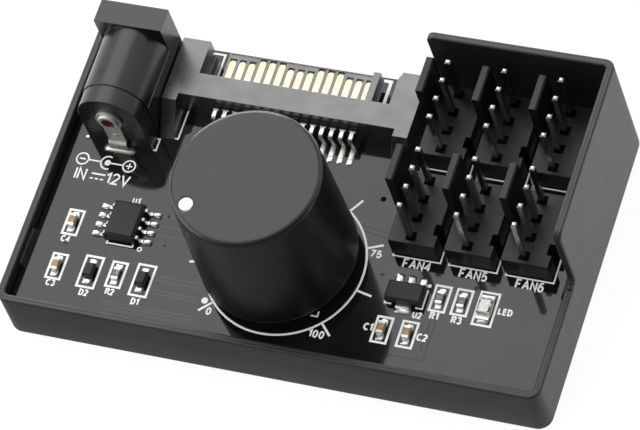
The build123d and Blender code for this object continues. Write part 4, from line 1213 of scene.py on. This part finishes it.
# %% A bare hole beside the dial
# Painted shade: a thin black disc on the board stands for the dark inside of a bare hole.
hole_black = board_mask("hole_black", (0.001, 0.001, 0.001), (0.002, 0.002, 0.002), 0.6, 0.05)
hole_mesh = bpy.data.meshes.new("bare_hole")
hole_shape = bmesh.new()
hole_radius = 0.36 * MM
bmesh.ops.create_cone(
    hole_shape, cap_ends=True, segments=24, radius1=hole_radius, radius2=hole_radius, depth=0.008 * MM
)
hole_shape.to_mesh(hole_mesh)
hole_shape.free()
hole_mesh.transform(Matrix.Translation((7.92 * MM, 2.95 * MM, board_top)))
hole_mesh.materials.append(hole_black)
bare_hole = add_object("bare_hole", hole_mesh)
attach(bare_hole, "base")
print("hole faces", len(hole_mesh.polygons))

# %% [markdown]
# ## Mould lines and painted edge highlights
#
# The jack's barrel keeps the line where the two halves of its mould met, on both sides at the height
# of its axis: a low ridge, coloured light grey as a painted highlight. The plug's tongue has a painted
# highlight along its back edge, a thin pale strip. Both are swept with the same tree as the tracks.

# %% Parting lines of the jack and the tongue's edge
jack_low, jack_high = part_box("jack_housing")
pin_axis = middle("jack_centre_pin")
barrel_radius = 4.2
line_height = pin_axis.z / MM - 0.1
barrel_ends = (jack_low.y / MM + 2.45, jack_high.y / MM - 3.2)
parting_paths = [
    [(pin_axis.x / MM + side * barrel_radius, y, line_height) for y in barrel_ends] for side in (-1, 1)
]
parting_seed = path_edges("parting_paths", parting_paths)
# Painted highlight: pale grey plastic for the light that a ridge or a rounded edge catches.
worn_plastic = moulded(
    "worn_plastic", (0.06, 0.06, 0.06), (0.24, 0.24, 0.24), 0.4, 2400.0, 0.02 * MM, cloud_scale=1800.0
)
parting_lines = plain_mesh(
    "parting_lines",
    swept_tree(worn_plastic),
    {"Line Width": 0.16 * MM, "Line Height": 0.14 * MM},
    parting_seed,
)
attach(parting_lines, "base")
# The tongue's back edge gets a thin pale strip as a painted highlight.
tongue_low, tongue_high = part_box("sata_contacts_long")
tongue_back = tongue_high.y / MM + 0.36
edge_past = 3.9
edge_ends = (tongue_low.x / MM - edge_past, tongue_high.x / MM + edge_past)
edge_path = [(x, tongue_back, tongue_high.z / MM) for x in edge_ends]
tongue_edge = plain_mesh(
    "tongue_edge",
    swept_tree(worn_plastic),
    {"Line Width": 0.14 * MM, "Line Height": 0.02 * MM},
    path_edges("tongue_paths", [edge_path]),
)
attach(tongue_edge, "base")
print("tongue edge", [[round(value, 2) for value in point] for point in edge_path])
print("parting lines", [round(value, 2) for value in barrel_ends], "height", round(line_height, 2))

# %% [markdown]
# ## Two small drops
#
# The jack's terminal strip has a pressed dimple, and a drop of plastic stayed at the guard's foot.
# Each is a ball pressed flat.

# %% Dimple of the terminal strip and a drop of plastic at the guard
def drop(name, centre, size, material):
    """A low round drop: an icosphere pressed to a size in millimetres."""
    shape = bmesh.new()
    bmesh.ops.create_icosphere(shape, subdivisions=3, radius=0.5)
    for face in shape.faces:
        face.smooth = True
    mesh = bpy.data.meshes.new(name)
    shape.to_mesh(mesh)
    shape.free()
    pressed = Matrix.Diagonal((*[value * MM for value in size], 1))
    mesh.transform(Matrix.Translation(Vector(centre) * MM) @ pressed)
    mesh.materials.append(material)
    thing = add_object(name, mesh)
    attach(thing, "base")
    return thing


strip_low, strip_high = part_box("jack_pin_terminal")
strip_face = jack_low.y / MM - 0.3
drop("strip_dimple", (pin_axis.x / MM + 0.1, strip_face, 9.26), (0.75, 0.3, 0.75), strip_tin)
drop("guard_drop", (33.95, -5.25, 8.05), (0.95, 0.85, 0.7), plastics["tray_plastic"])
print("dimple on", round(strip_face, 2), "strip", round(strip_low.y / MM, 2), round(strip_high.y / MM, 2))
